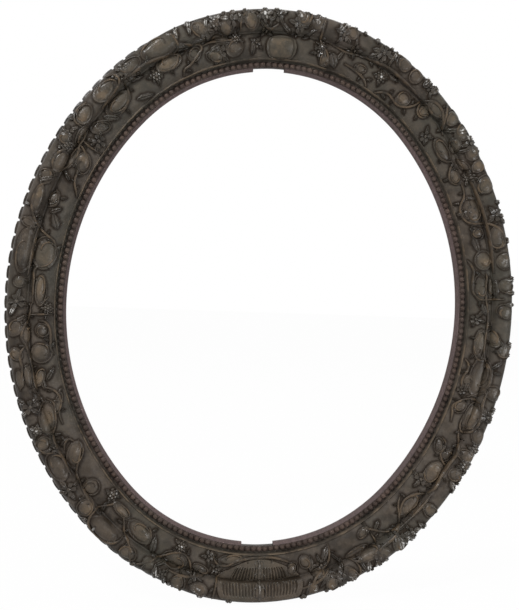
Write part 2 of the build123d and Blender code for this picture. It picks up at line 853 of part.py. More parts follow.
# Strings of pearls on a thin fillet, and the leaf rim, a length to each arc
fillet_outline = [
    (lip_width + fillet_margin, seat_height),
    (lip_width + fillet_margin, seat_height + fillet_thickness),
    (seat_edge - fillet_margin, seat_height + fillet_thickness),
    (seat_edge - fillet_margin, seat_height),
]
bead_across = (lip_width + seat_edge) / 2
rim_outline = [
    (body_edge + glue_line, rim_base_height),
    (body_edge + glue_line, body_edge_height - glue_line),
    (roll_edge, rim_seat_height - glue_line),
    (rim_crest, rim_crest_height),
    (moulding_width, rim_nose_height),
    (rim_heel, rim_heel_height),
    (roll_edge, rim_base_height),
]
seat_plane = Plane.XZ.offset(seat_height - wall)
for arc in arcs:
    sweep_angle = arc.end - arc.start
    bead_count = round(radians(sweep_angle) * (arc.radius + bead_across) / bead_pitch)
    with BuildPart() as bead_strip:
        revolve(
            outline_section(arc, arc.start, fillet_outline),
            axis=arc_axis(arc),
            revolution_arc=sweep_angle,
        )
        with Locations(seat_plane.offset(bead_lift)):
            with Locations(
                *[
                    spot(arc, arc.start + (number + 1 / 2) * sweep_angle / bead_count, bead_across)
                    for number in range(bead_count)
                ]
            ):
                Sphere(bead_radius)
        split(bisect_by=seat_plane, keep=Keep.TOP)
    finish(bead_strip.part, f"bead_strip_{arc.name}")

    leaf_count = round(radians(sweep_angle) * (arc.radius + notch_floor) / leaf_pitch)
    with BuildPart() as leaf_rim:
        revolve(
            outline_section(arc, arc.start, rim_outline),
            axis=arc_axis(arc),
            revolution_arc=sweep_angle,
        )
        with BuildSketch(Plane.XZ.offset(-wall)):
            with Locations(
                *[
                    spot(arc, arc.start + number * sweep_angle / leaf_count, notch_floor)
                    for number in range(leaf_count + 1)
                ]
            ):
                Polygon(
                    (-notch_root, 0),
                    (-notch_mouth, moulding_width - notch_floor + notch_root),
                    (notch_mouth, moulding_width - notch_floor + notch_root),
                    (notch_root, 0),
                    align=None,
                )
        extrude(amount=total_depth, mode=Mode.SUBTRACT)
    finish(leaf_rim.part, f"leaf_rim_{arc.name}")

# Applied ornament: each kind leaves free what the kinds before it take, and a glue line round that
shield_outline = shield()
stem_outline = fan_stem()
fan_outline = left_over(fan(), offset(stem_outline, glue_line))
taken = [offset(shield_outline, glue_line), offset(fan(), glue_line)]
dome_outlines = left_over(domes(), *taken)
taken.append(domes(glue_line))
flower_outlines = left_over(flowers(), *taken)
taken.append(flowers(glue_line))
grape_outlines = left_over(grapes(), *taken)
taken.append(grapes(glue_line))
leaf_outlines = left_over(leaves(), *taken)
taken.append(leaves(glue_line))
tendril_outlines = left_over(tendrils(), *taken)
ornament_kinds = {
    "domes": (dome_outlines, dome_lift),
    "flowers": (flower_outlines, flower_lift),
    "grapes": (grape_outlines, grape_lift),
    "leaves": (leaf_outlines, leaf_lift),
    "tendrils": (tendril_outlines, tendril_lift),
}
for kind, (outline, lift) in ornament_kinds.items():
    for quarter, name in enumerate(quarter_names):
        chosen = [face for face in outline.faces() if quarter_of(face) == quarter]
        with BuildPart() as ornament:
            relief(chosen, spans_of_quarter(quarter), lift)
        finish(ornament.part, f"{kind}_{name}")

top_span = [(arcs[0], arcs[0].start, arcs[0].end)]
bottom_span = [(arcs[2], arcs[2].start, arcs[2].end)]
with BuildPart() as top_shield:
    relief(shield_outline.faces(), top_span, shield_lift)
finish(top_shield.part, "top_shield")

with BuildPart() as bottom_fan:
    relief(fan_outline.faces(), bottom_span, fan_lift)
finish(bottom_fan.part, "bottom_fan")

with BuildPart() as fan_upright:
    relief(stem_outline.faces(), bottom_span, fan_stem_lift)
finish(fan_upright.part, "bottom_fan_stem")

# Hanger plate with its rolled barrel, its screws and the ring that swings in it
pivot = back_plane(hanger_arc, 0, hanger_across, pivot_height).origin
pivot_plane = Plane(origin=pivot, z_dir=(1, 0, 0))
with BuildPart() as hanger_plate:
    with BuildSketch(back_plane(hanger_arc, 0, plate_across, recess_height)):
        SlotOverall(plate_length, plate_width)
        with Locations((0, (hanger_across - plate_across) / 2)):
            Rectangle(tongue_width, hanger_across - plate_across)
    extrude(amount=-plate_thickness)
    with BuildSketch(pivot_plane):
        Circle(barrel_radius)
    extrude(amount=tongue_width / 2, both=True)
    with BuildSketch(pivot_plane):
        Circle(wire_radius + running_clearance)
    extrude(amount=tongue_width, both=True, mode=Mode.SUBTRACT)
    plate_screws(Mode.SUBTRACT)
finish(hanger_plate.part, "hanger_plate")

with BuildPart() as hanger_screws:
    plate_screws(Mode.ADD)
finish(hanger_screws.part, "hanger_screws")

with BuildPart() as hanger_ring:
    with BuildSketch(pivot_plane):
        Circle(wire_radius)
    extrude(amount=ring_bow, both=True)
    with BuildSketch(Plane(origin=pivot, x_dir=(1, 0, 0), z_dir=(0, 0, 1))):
        with Locations((ring_bow, 0)):
            Circle(wire_radius)
    revolve(axis=Axis(pivot, (0, 1, 0)), revolution_arc=180)
    with Locations(*[pivot + Vector(side * ring_bow, 0, 0) for side in (-1, 1)]):
        Sphere(wire_radius)
finish(hanger_ring.part, "hanger_ring")

# Turn buttons, each on its own screw and turned aside along the band, as in an empty frame
button_reach = button_across - button_tip
for name, clock in button_clocks.items():
    seat = button_plane(clock)
    with BuildPart() as turn_button:
        with BuildSketch(seat.offset(-resting_gap)) as plate:
            with Locations(((button_reach - button_heel) / 2, 0)):
                SlotOverall(button_reach + button_heel, button_width)
        extrude(amount=-button_thickness)
        with BuildSketch(seat) as hole:
            Circle(button_screw_shank + running_clearance)
        extrude(amount=-button_thickness - 2 * resting_gap, mode=Mode.SUBTRACT)
    finish(turn_button.part, f"turn_button_{name}")

with BuildPart() as turn_button_screws:
    for clock in button_clocks.values():
        button_screw(clock, Mode.ADD)
finish(turn_button_screws.part, "turn_button_screws")
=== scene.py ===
import json
from contextlib import contextmanager
from math import atan2, cos, pi, radians, sin, sqrt

import bpy
import numpy as np
from bpy.props import FloatProperty, FloatVectorProperty, PointerProperty
from bpy.types import Operator, Panel, PropertyGroup
from mathutils import Matrix, Vector
from mathutils.kdtree import KDTree

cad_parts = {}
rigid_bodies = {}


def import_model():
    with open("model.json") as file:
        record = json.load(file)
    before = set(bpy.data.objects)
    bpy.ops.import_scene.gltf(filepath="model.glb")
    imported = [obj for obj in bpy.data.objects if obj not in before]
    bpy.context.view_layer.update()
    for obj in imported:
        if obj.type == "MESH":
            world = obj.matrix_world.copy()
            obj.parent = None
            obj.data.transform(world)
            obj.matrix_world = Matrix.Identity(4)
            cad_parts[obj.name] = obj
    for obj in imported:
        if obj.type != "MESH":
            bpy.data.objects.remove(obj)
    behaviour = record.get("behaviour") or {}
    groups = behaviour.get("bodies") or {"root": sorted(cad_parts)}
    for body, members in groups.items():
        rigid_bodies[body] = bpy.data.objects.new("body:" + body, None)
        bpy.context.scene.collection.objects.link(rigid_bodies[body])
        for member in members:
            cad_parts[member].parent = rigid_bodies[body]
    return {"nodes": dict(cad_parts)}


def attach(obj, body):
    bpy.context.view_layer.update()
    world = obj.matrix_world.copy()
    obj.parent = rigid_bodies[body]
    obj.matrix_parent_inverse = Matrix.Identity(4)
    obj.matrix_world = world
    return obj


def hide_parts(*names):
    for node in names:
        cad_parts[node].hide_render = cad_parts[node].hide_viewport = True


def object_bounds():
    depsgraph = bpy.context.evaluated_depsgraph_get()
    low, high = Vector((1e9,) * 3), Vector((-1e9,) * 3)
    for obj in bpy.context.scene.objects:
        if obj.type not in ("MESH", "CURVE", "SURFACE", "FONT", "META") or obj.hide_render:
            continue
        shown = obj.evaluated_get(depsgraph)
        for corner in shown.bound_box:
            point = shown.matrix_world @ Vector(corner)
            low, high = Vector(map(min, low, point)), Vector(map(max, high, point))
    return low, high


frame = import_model()
cad_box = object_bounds()

bl_info = {
    "name": "Oval Vine Frame",
    "version": (1, 0, 0),
    "blender": (4, 5, 0),
    "location": "View3D > Sidebar > Frame",
    "description": "Dresses an oval picture frame with pearls, scrolling vines, flowers and a leaf rim",
    "category": "Object",
}

# Everything is in metres. A place on the band is given along its middle, clockwise from the top,
# then outwards from the sight edge, and forwards from the wall or off the moulding.
MM = 0.001
SIGHT_WIDTH = 488 * MM
SIGHT_HEIGHT = 580 * MM
BAND = 71 * MM
END_CENTRE_SHARE = 1.62
WALL = 25.75 * MM
ARC_NAMES = ["top", "right", "bottom", "left"]
QUARTER_NAMES = ["upper_right", "lower_right", "lower_left", "upper_left"]

# The front moulding: a seat for the pearls, a ridge, a domed panel, a valley and an outer roll
RING_HEIGHT = 20 * MM
LIP_WIDTH = 3.5 * MM
SEAT_HEIGHT = 26.5 * MM
SEAT_EDGE = 10.4 * MM
RIDGE_EDGE = 15 * MM
RIDGE_HEIGHT = 33.2 * MM
PANEL_FOOT = 32.4 * MM
PANEL_CROWN = (28 * MM, 38.8 * MM)
PANEL_EDGE = (42 * MM, 38.2 * MM)
VALLEY_FLOOR = (44.2 * MM, 37.4 * MM)
VALLEY_MIDDLE = 44.8 * MM
ROLL_ACROSS = 56 * MM
ROLL_BASE = 37.3 * MM
ROLL_RADIUS = 11.4 * MM
ROLL_FOOT = 1.7 * MM
ROLL_START = ROLL_ACROSS - sqrt(ROLL_RADIUS**2 - ROLL_FOOT**2)
ROLL_EDGE = ROLL_ACROSS + ROLL_RADIUS
FLANK = 60 * MM
BODY_EDGE = 62.5 * MM
BODY_HEIGHT = 28 * MM
SHOULDER_HEIGHT = 31 * MM
FRONT_START = 15.4 * MM
FRONT_END = 64.8 * MM
FRONT_POINTS = 35
ROLL_TURNS = (68, 76, 84, 90)
SWELL_HEIGHT = 29 * MM

# The roll swells past its plain shape, more at the top and the bottom, and not on the left
SWELL = 2.1 * MM
END_SWELL = 1.3 * MM
SWELL_START = 48 * MM
SWELL_EASE = 13 * MM
PLAIN_CLOCK = 265
PLAIN_REACH = 60
PLAIN_EASE = 14

# How the ornament lies on the front, how a lobe falls off and leans over, and the share of a motif's
# reach past which its edge lies flat
MOTIF_SINK = 0.5 * MM
INNER_BASE = 12.6 * MM
INNER_LIMIT = 12.2 * MM
OUTER_LIMIT = BAND - 0.2 * MM
ROLL_REACH = radians(96)
SLOPE_STEP = 0.05 * MM
DEPTH_GAP = 0.1 * MM
DEPTH_EASE = 2.4 * MM
LOBE_FALL = 0.35
LOBE_TILT = (0.34, 0.22)
EDGE_SHARE = 0.985

# Outlines across the band and over the wall, in millimetres, from the sight side outwards
RIDGE_OUTLINE = [
    (11.0, 26.6), (11.7, 27.0), (12.3, 28.4), (12.8, 31.8), (13.1, 33.0), (13.6, 33.5), (14.2, 33.3),
    (14.8, 32.5),
]
LIP_OUTLINE = [
    (0, 20.0), (0, 23.4), (0.35, 24.2), (1.1, 24.9), (2.3, 25.6), (3.2, 26.7), (3.6, 27.3), (3.6, 20.0),
]
FILLET_OUTLINE = [(3.8, 26.5), (3.8, 27.1), (4.2, 27.4), (9.7, 27.4), (10.1, 27.1), (10.1, 26.5)]
RIM_OUTLINE = [(62.8, 20.7), (62.8, 27.6), (65.9, 30.6), (67.6, 29.2), (67.8, 24.0), (67.0, 20.7)]

# Length of one facet along the sight lip and along the strip under the rim leaves
STRIP_STEP = 4 * MM

# The clocks between which the sight lip runs on either side, with a gap at the top and at the bottom,
# and the clock by which the top arc has met the right one, which the other corners mirror
LIP_ENDS = {"right": (1.3, 176.0), "left": (184.8, 352.8)}
LIP_JOINT = 39.88

# Pearls and rim leaves
PEARL_DEPTH = 3.42 * MM
PEARL_HEIGHT = 3.1 * MM
PEARL_RISE = 1.2 * MM
PEARL_CUT = -0.38
RIM_LEAF_ACROSS = 67.3 * MM
RIM_LEAF_DEPTH = 3.5 * MM
RIM_LEAF_BASE = 26.0 * MM
RIM_LEAF_HEIGHT = 3.6 * MM
RIM_LEAF_SLOPE = 0.9 * MM
RIM_LIMIT = BAND - 0.1 * MM
RIM_PITCH_LINE = 67 * MM

# The shield at the top, the fan at the bottom and its stem
SHIELD_CLOCK = 359.6
SHIELD_ACROSS = 26.5 * MM
SHIELD_HALF_HEIGHT = 14 * MM
SHIELD_HALF_WIDTH = 20 * MM
SHIELD_LIFT = 4.8 * MM
FAN_CLOCK = 180.1
FAN_HALF_WIDTH = 52 * MM
FAN_TOP = 17.4 * MM
FAN_TOP_DROP = 13.4 * MM
FAN_FOOT = 64.5 * MM
FAN_FOOT_RISE = 2.1 * MM
FAN_LIFT = 2.6 * MM
FLUTE_ROWS = ((28 * MM, 43 * MM, 0.68), (46.5 * MM, 58 * MM, 0.88))
FLUTE_RATE = 86
FLUTE_GAP = 0.08
SEAM_WIDTH = 1.1 * MM
STEM_CLOCK = 180.2
STEM_PLACES = (19.5 * MM, 30 * MM, 47 * MM, 62 * MM)
STEM_RADIUS = 2.4 * MM
STEM_TIPS = 0.8
KNOTS = ((24 * MM, 3.6 * MM), (39 * MM, 4.2 * MM), (54 * MM, 4.6 * MM))
KNOT_RADIUS = 1.1 * MM

# Heights at which the crests of the shield, the fan and the stem wear bare and take painted
# highlights, with painted glints on the stem
SHIELD_CREST = 5.4 * MM
FAN_CREST = 2.8 * MM
STEM_CREST = 4.9 * MM

# The level of wear and light painted on the moulding in the pearls' channel, beside it, on the ridge,
# on the front, where it fades towards the feet of the ornament, and in the valley, with the places where
# these change: low levels paint grime and shade, the ridge's paints a highlight along its crest, and the
# valley's keeps it from being painted dark
CHANNEL_EDGE = 10 * MM
RIDGE_START = 12.7 * MM
RIDGE_END = 14 * MM
VALLEY_REACH = 3 * MM
CHANNEL_WORN_AND_LIT = 0.15
BESIDE_WORN_AND_LIT = 0.35
RIDGE_HIGHLIGHT = 0.75
FRONT_WORN_AND_LIT = 0.5
VALLEY_WORN_AND_LIT = 0.42
FOOT_DEPTH = 0.7 * MM
FOOT_EASE = 2.4 * MM

# Limits in the millimetres of the ornament tables: where the small leaves and buds may stand across the
# band, from where a leaf stands higher by a factor, from where every third lobe has no scroll, and the
# half length under which a lobe is a round one that leans
CLUSTER_SPAN = (17, 67)
BUD_SPAN = (17, 66)
OUTER_LEAF = 58
OUTER_LEAF_RAISE = 1.4
OUTER_LOBE = 48
ROUND_LOBE = 11

# The photograph's camera: lengths in pixels of a picture this high, angles in degrees, a distance in metres
PHOTO_HEIGHT = 610
FOCAL_PIXELS = 979
SHIFT_PIXELS = (-9.76, 5.44)
BEARING = -11.65
RISE = 3.23
TILT = 2.55
DISTANCE = 1.202
SENSOR = 36

# Lamps: name, place, size, power
LAMPS = [
    ("key", (-1.1, -1.2, 1.5), 0.3, 33),
    ("fill", (1.3, -1.5, -0.2), 0.3, 13),
    ("top", (0.3, -0.4, 2.0), 0.6, 8),
    ("spark", (-0.4, -2.0, 0.9), 0.15, 5),
    ("back", (0.9, 1.9, 1.4), 1.0, 14),
]
FLOOR_SIZE = 12
FLOOR_SHARE = 0.98
WORLD_STRENGTH = 0.19


def in_mm(places):
    """Places given in millimetres, in metres."""
    return [tuple(value * MM for value in place) for place in places]


def circle_through(one, two, three):
    """Centre and radius of the circle through three points."""
    (ax, ay), (bx, by), (cx, cy) = one, two, three
    d = 2 * (ax * (by - cy) + bx * (cy - ay) + cx * (ay - by))
    a, b, c = ax * ax + ay * ay, bx * bx + by * by, cx * cx + cy * cy
    x = (a * (by - cy) + b * (cy - ay) + c * (ay - by)) / d
    y = (a * (cx - bx) + b * (ax - cx) + c * (bx - ax)) / d
    return x, y, sqrt((ax - x) ** 2 + (ay - y) ** 2)


def rise_of(circle, across):
    """Height of a circle's upper half over its centre."""
    return np.sqrt(np.maximum(circle[2] ** 2 - (across - circle[0]) ** 2, 0))


PANEL = circle_through((RIDGE_EDGE, PANEL_FOOT), PANEL_CROWN, PANEL_EDGE)
VALLEY = circle_through(PANEL_EDGE, VALLEY_FLOOR, (ROLL_START, ROLL_BASE + ROLL_FOOT))
ROLL = (ROLL_ACROSS, ROLL_BASE, ROLL_RADIUS)


def front_height(across):
    """Height of the moulding's front over the wall, from the ridge to the edge of the roll."""
    across = np.asarray(across, dtype=float)
    panel = PANEL[1] + rise_of(PANEL, across)
    valley = VALLEY[1] - rise_of(VALLEY, across)
    roll = ROLL[1] + rise_of(ROLL, across)
    height = np.where(across < PANEL_EDGE[0], panel, np.where(across < ROLL_START, valley, roll))
    return np.where(across < RIDGE_EDGE, RIDGE_HEIGHT, height)


class Oval:
    """The sight edge's oval of four tangent arcs, and places round and across its band."""

    def __init__(self):
        excess = (SIGHT_HEIGHT - SIGHT_WIDTH) / 2
        self.end_centre = END_CENTRE_SHARE * excess
        self.side_centre = excess * (2 * self.end_centre - excess) / (2 * (self.end_centre - excess))
        self.end_radius = SIGHT_HEIGHT / 2 - self.end_centre
        self.side_radius = SIGHT_WIDTH / 2 + self.side_centre
        self.joint = atan2(self.side_centre, self.end_centre)
        self.middle = BAND / 2
        self.end_length = (self.end_radius + self.middle) * self.joint
        self.side_length = (self.side_radius + self.middle) * (pi / 2 - self.joint)
        self.quarter = self.end_length + self.side_length
        self.girth = 4 * self.quarter

    def along(self, clock):
        """Length along the band's middle at a clock, in degrees."""
        return clock / 360 * self.girth

    def clock(self, along):
        """The clock, in degrees, at a length along the band's middle."""
        return along / self.girth * 360

    def arc_spans(self):
        """Start and length of each arc along the band's middle, from the top one."""
        start = -self.end_length
        for length in (2 * self.end_length, 2 * self.side_length) * 2:
            yield start, length
            start += length

    def arc_centre(self, along):
        """The centre of the arc at a place along the band."""
        quarter, part = divmod(along % self.girth, self.quarter)
        if quarter % 2:
            part = self.quarter - part
        if part < self.end_length:
            return (0, 0, self.end_centre if quarter in (0, 3) else -self.end_centre)
        return (-self.side_centre if quarter < 2 else self.side_centre, 0, 0)

    def place(self, along, across, height):
        """Points in space from places along, across and over the wall."""
        along, across, height = np.broadcast_arrays(along, across, height)
        whole = np.mod(along, self.girth)
        quarter = np.minimum(np.floor(whole / self.quarter), 3)
        part = whole - quarter * self.quarter
        part = np.where(quarter % 2 == 1, self.quarter - part, part)
        end = part < self.end_length
        turn = np.where(
            end,
            part / (self.end_radius + self.middle),
            self.joint + (part - self.end_length) / (self.side_radius + self.middle),
        )
        reach = np.where(end, self.end_radius, self.side_radius) + across
        x = reach * np.sin(turn) - np.where(end, 0, self.side_centre)
        z = reach * np.cos(turn) + np.where(end, self.end_centre, 0)
        x = np.where(quarter >= 2, -x, x)
        z = np.where((quarter == 1) | (quarter == 2), -z, z)
        return np.stack([x, WALL - height, z], axis=-1)

    def shrink(self, along, across):
        """How much shorter a length is at the middle of the band than at a place across it."""
        part = np.mod(along, 2 * self.quarter)
        part = np.minimum(part, 2 * self.quarter - part)
        radius = np.where(part < self.end_length, self.end_radius, self.side_radius)
        return (radius + self.middle) / (radius + across)

    def swell(self, along, across):
        """How much further out the roll stands than its plain shape: a little, except on the left."""
        clock = self.clock(np.mod(along, self.girth))
        side = np.clip((np.abs(clock - PLAIN_CLOCK) - PLAIN_REACH) / PLAIN_EASE, 0, 1)
        flank = np.clip((across - SWELL_START) / SWELL_EASE, 0, 1)
        reach = SWELL + END_SWELL * np.abs(np.cos(radians(1) * clock)) ** 10
        return reach * side * side * (3 - 2 * side) * flank

    def on_front(self, flat):
        """Points in space from flat ones: along the band, across it and off the moulding's front."""
        along, across, lift = flat[:, 0], flat[:, 1], flat[:, 2]
        base = np.clip(across, INNER_BASE, FLANK)
        slope = (front_height(base + SLOPE_STEP) - front_height(base - SLOPE_STEP)) / (2 * SLOPE_STEP)
        length = np.sqrt(1 + slope**2)
        bend = np.arcsin((FLANK - ROLL_ACROSS) / ROLL_RADIUS) + (across - FLANK) / ROLL_RADIUS
        bend = np.clip(bend, 0, ROLL_REACH)
        flank = across > FLANK
        reach = ROLL_RADIUS + lift
        out = np.where(flank, ROLL_ACROSS + reach * np.sin(bend), base - lift * slope / length)
        height = np.where(flank, ROLL_BASE + reach * np.cos(bend), front_height(base) + lift / length)
        out = np.clip(out + self.swell(along, out), INNER_LIMIT, OUTER_LIMIT)
        return self.place(along, out, self.eased(height))

    def eased(self, height):
        """Heights eased under the frame's whole depth, so that the tallest ornament keeps its shape."""
        start = 2 * WALL - DEPTH_GAP - DEPTH_EASE
        over = np.maximum(height - start, 0)
        return np.minimum(height, start) + DEPTH_EASE * (1 - np.exp(-over / DEPTH_EASE))


OVAL = Oval()


# Sizes and colours that a user may change


def length(name, default, description):
    """A length given in millimetres."""
    return FloatProperty(name=name, description=description, default=default * MM, unit="LENGTH")


def colour(name, default, description):
    """A colour."""
    return FloatVectorProperty(name=name, description=description, default=default, subtype="COLOR")


class FrameSizes(PropertyGroup):
    """Sizes of the dressing that a user may change."""

    pearl_pitch: length("Pearl pitch", 7.35, "Distance from one pearl to the next")
    pearl_radius: length("Pearl radius", 3.6, "Half a pearl's width along the band")
    leaf_pitch: length("Rim leaf pitch", 17.3, "Distance from one leaf of the rim to the next")
    vine_radius: length("Vine radius", 1.5, "Half the width of a vine's stem")
    lobe_lift: length("Lobe height", 3.7, "How far a lobe stands off the moulding")
    leaf_lift: length("Leaf height", 3.4, "How far a leaf stands off the moulding")
    flower_lift: length("Flower height", 4.6, "How far a flower stands off the moulding")
    grape_lift: length("Grape height", 4.2, "How far a bunch of grapes stands off the moulding")
    station: length("Moulding step", 1.9, "Length of one facet along the moulding")


class FrameColours(PropertyGroup):
    """Colours of the finishes."""

    ground: colour("Bronze ground", (0.054, 0.0445, 0.0365), "The moulding's dark bronze")
    # Painted shade with grime: darkens hollows, the ornament's feet and the gaps round pearls and rim leaves
    dirt: colour("Dirt", (0.012, 0.008, 0.005), "What lies in the hollows")
    # Ochre wear and painted highlight, laid on the crests of vines, lobes, leaves and the ridge
    worn: colour("Worn bronze", (0.132, 0.099, 0.067), "The rubbed crests of vines and lobes")
    # Painted highlight: pale specks on the tops of leaves, flowers, grapes and the fan's stem
    glint: colour("Glint", (0.55, 0.54, 0.52), "The bright flecks on leaves, flowers and grapes")
    lip: colour("Sight lip", (0.105, 0.070, 0.066), "The dull reddish lip")
    wood: colour("Back wood", (0.20, 0.115, 0.055), "The plain wood of the back")
    dowel: colour("Dowel wood", (0.45, 0.30, 0.16), "The paler wood of the dowels")
    steel: colour("Steel", (0.36, 0.35, 0.33), "The screws")
    brass: colour("Brass", (0.55, 0.38, 0.14), "The hanger and the turn buttons")


def sizes():
    """The sizes in use."""
    return bpy.context.scene.frame_sizes


def chosen(name):
    """A colour in use, by its name."""
    return tuple(getattr(bpy.context.scene.frame_colours, name))


# Modelling helpers


def clear_selection():
    """Leaves nothing selected, in object mode."""
    if bpy.context.object and bpy.context.object.mode != "OBJECT":
        bpy.ops.object.mode_set(mode="OBJECT")
    bpy.ops.object.select_all(action="DESELECT")


def select_only(*pieces):
    """Selects some pieces, the first one active."""
    clear_selection()
    for piece in pieces:
        piece.select_set(True)
    bpy.context.view_layer.objects.active = pieces[0]


@contextmanager
def whole_mesh():
    """Edit mode, with all of the active piece's mesh selected."""
    bpy.ops.object.mode_set(mode="EDIT")
    bpy.ops.mesh.select_all(action="SELECT")
    yield
    bpy.ops.object.mode_set(mode="OBJECT")


def points_of(piece):
    """A piece's vertices as rows of numbers."""
    points = np.empty(len(piece.data.vertices) * 3)
    piece.data.vertices.foreach_get("co", points)
    return points.reshape(-1, 3)


def move_points(piece, points):
    """Moves a piece's vertices."""
    piece.data.vertices.foreach_set("co", np.ascontiguousarray(points, dtype=float).ravel())
    piece.data.update()


def shade(piece, worn):
    """Keeps a piece's level of wear and light at each of its vertices for its finish to read: low levels are
    painted with grime and shade, high ones with wear and highlights.
    """
    layer = piece.data.attributes.get("worn") or piece.data.attributes.new("worn", "FLOAT", "POINT")
    values = np.broadcast_to(np.asarray(worn, dtype=np.float32), len(piece.data.vertices))
    layer.data.foreach_set("value", np.ascontiguousarray(values))


def copy_of(motif):
    """A copy of a motif with its own mesh."""
    copy = motif.copy()
    copy.data = motif.data.copy()
    bpy.context.collection.objects.link(copy)
    return copy


def joined(pieces, name):
    """Pieces made one mesh under a name."""
    select_only(*pieces)
    if len(pieces) > 1:
        bpy.ops.object.join()
    piece = bpy.context.object
    piece.name = name
    piece.data.name = name
    return piece


def fixed(piece, finish_name, *nodes, angle=50):
    """Finishes a piece: its shading, its finish and the nodes of the frame's body that it stands for."""
    select_only(piece)
    bpy.ops.object.shade_smooth_by_angle(angle=radians(angle))
    piece.data.materials.clear()
    piece.data.materials.append(finish(finish_name))
    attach(piece, "frame")
    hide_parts(*nodes)


def lay_on_front(piece, lift):
    """Bends a flat piece round the oval on the moulding's front, and sets its wear and light by its height:
    grime and painted shade on its low parts, wear and painted highlights on its crests.
    """
    flat = points_of(piece)
    layer = piece.data.attributes.new("flat", "FLOAT_VECTOR", "POINT")
    layer.data.foreach_set("vector", flat.ravel())
    # Low parts take grime and painted shade, crests wear and painted highlights
    shade(piece, np.clip(flat[:, 2] / lift, 0, 1))
    move_points(piece, OVAL.on_front(flat))


def copy_laid(motif, clock, across, half_length, half_width, lift, turn=0):
    """A copy of a unit motif at a place on the flat band, turned outwards by degrees."""
    points = points_of(motif)
    x, y = points[:, 0] * half_length, points[:, 1] * half_width
    turn = radians(turn)
    start = OVAL.along(clock)
    out = across + x * sin(turn) + y * cos(turn)
    along = start + (x * cos(turn) - y * sin(turn)) * OVAL.shrink(start, across)
    copy = copy_of(motif)
    move_points(copy, np.stack([along, out, points[:, 2] * lift - MOTIF_SINK], axis=-1))
    return copy


def quarter_of(clock):
    """The quarter that a clock lies in, from the top clockwise."""
    return int(clock % 360 // 90)


def lay_quarters(copies_in, name, lift, finish_name, node_name):
    """Lays each quarter's copies on the front as one piece that stands for that quarter's node."""
    for quarter, quarter_name in enumerate(QUARTER_NAMES):
        piece = joined(copies_in(quarter), f"{name}_{quarter_name}")
        lay_on_front(piece, lift)
        fixed(piece, finish_name, f"{node_name}_{quarter_name}")


def turned(name, outline, start, span, steps):
    """A length of moulding: an outline of places across and over the wall, spun along one arc."""
    clear_selection()
    bpy.ops.mesh.primitive_circle_add(vertices=len(outline), fill_type="NGON")
    piece = bpy.context.object
    piece.name = name
    across, height = np.array(outline).T
    move_points(piece, OVAL.place(start, across, height))
    centre = OVAL.arc_centre(start + span / 2)
    ends = OVAL.place(np.array([start, start + span]), 0.0, 0.0)
    arms = [atan2(end[0] - centre[0], end[2] - centre[2]) for end in ends]
    angle = (arms[1] - arms[0]) % (2 * pi)
    with whole_mesh():
        bpy.ops.mesh.spin(steps=steps, angle=angle, center=centre, axis=(0, -1, 0))
        bpy.ops.mesh.select_all(action="SELECT")
        bpy.ops.mesh.normals_make_consistent(inside=False)
    return piece


def rod(places, radius, name, tips=0.5):
    """A round stem through places along and across the flat band, thinner at its ends."""
    curve = bpy.data.curves.new(name, "CURVE")
    curve.dimensions = "3D"
    curve.bevel_depth = radius
    curve.bevel_resolution = 2
    curve.use_fill_caps = True
    curve.resolution_u = 6
    spline = curve.splines.new("BEZIER")
    last = len(places) - 1
    spline.bezier_points.add(last)
    for number, (point, (along, across, *lift)) in enumerate(zip(spline.bezier_points, places)):
        point.co = (along, across, 0.5 * radius + sum(lift))
        point.handle_left_type = "AUTO"
        point.handle_right_type = "AUTO"
        point.radius = tips if number in (0, last) else 1
    stem = bpy.data.objects.new(name, curve)
    bpy.context.collection.objects.link(stem)
    select_only(stem)
    bpy.ops.object.convert(target="MESH")
    return bpy.context.object


# Motifs, made once at unit size


def lobe_motif():
    """A smooth round lobe, hollowed a little inside its rim."""
    clear_selection()
    bpy.ops.mesh.primitive_uv_sphere_add(segments=28, ring_count=18)
    motif = bpy.context.object
    with whole_mesh():
        bpy.ops.mesh.bisect(plane_co=(0, 0, -0.05), plane_no=(0, 0, 1), clear_inner=True)
    points = points_of(motif)
    reach = np.minimum(np.hypot(points[:, 0], points[:, 1]), 1)
    tilt = 1 + LOBE_TILT[0] * points[:, 0] + LOBE_TILT[1] * points[:, 1]
    dip = -0.22 * np.exp(-(((reach - 0.84) / 0.09) ** 2))
    points[:, 2] = np.where(reach > EDGE_SHARE, 0, (0.75 - LOBE_FALL * reach**2) * tilt + dip)
    move_points(motif, points)
    return motif


def leaf_motif():
    """A pointed leaf with a midrib and side veins."""
    clear_selection()
    bpy.ops.mesh.primitive_grid_add(x_subdivisions=16, y_subdivisions=10, size=2)
    motif = bpy.context.object
    points = points_of(motif)
    x, y = points[:, 0].copy(), points[:, 1].copy()
    spread = np.clip(1 - np.abs(x) ** 2.2, 0, 1) ** 0.8 * (1 - 0.22 * x)
    notch = 1 - 0.10 * np.cos(9 * x) * np.abs(y)
    crown = np.clip(1 - np.abs(y) ** 2.4, 0, 1)
    rib = 0.30 * np.exp(-((y / 0.14) ** 2))
    vein = 0.10 * np.cos(16 * (x - 0.5 * np.abs(y)))
    points[:, 1] = y * spread * notch
    points[:, 2] = np.clip(crown * (0.72 - rib + vein) * (0.35 + 0.65 * spread), 0, 1)
    move_points(motif, points)
    with whole_mesh():
        bpy.ops.mesh.remove_doubles(threshold=0.0005)
    return motif


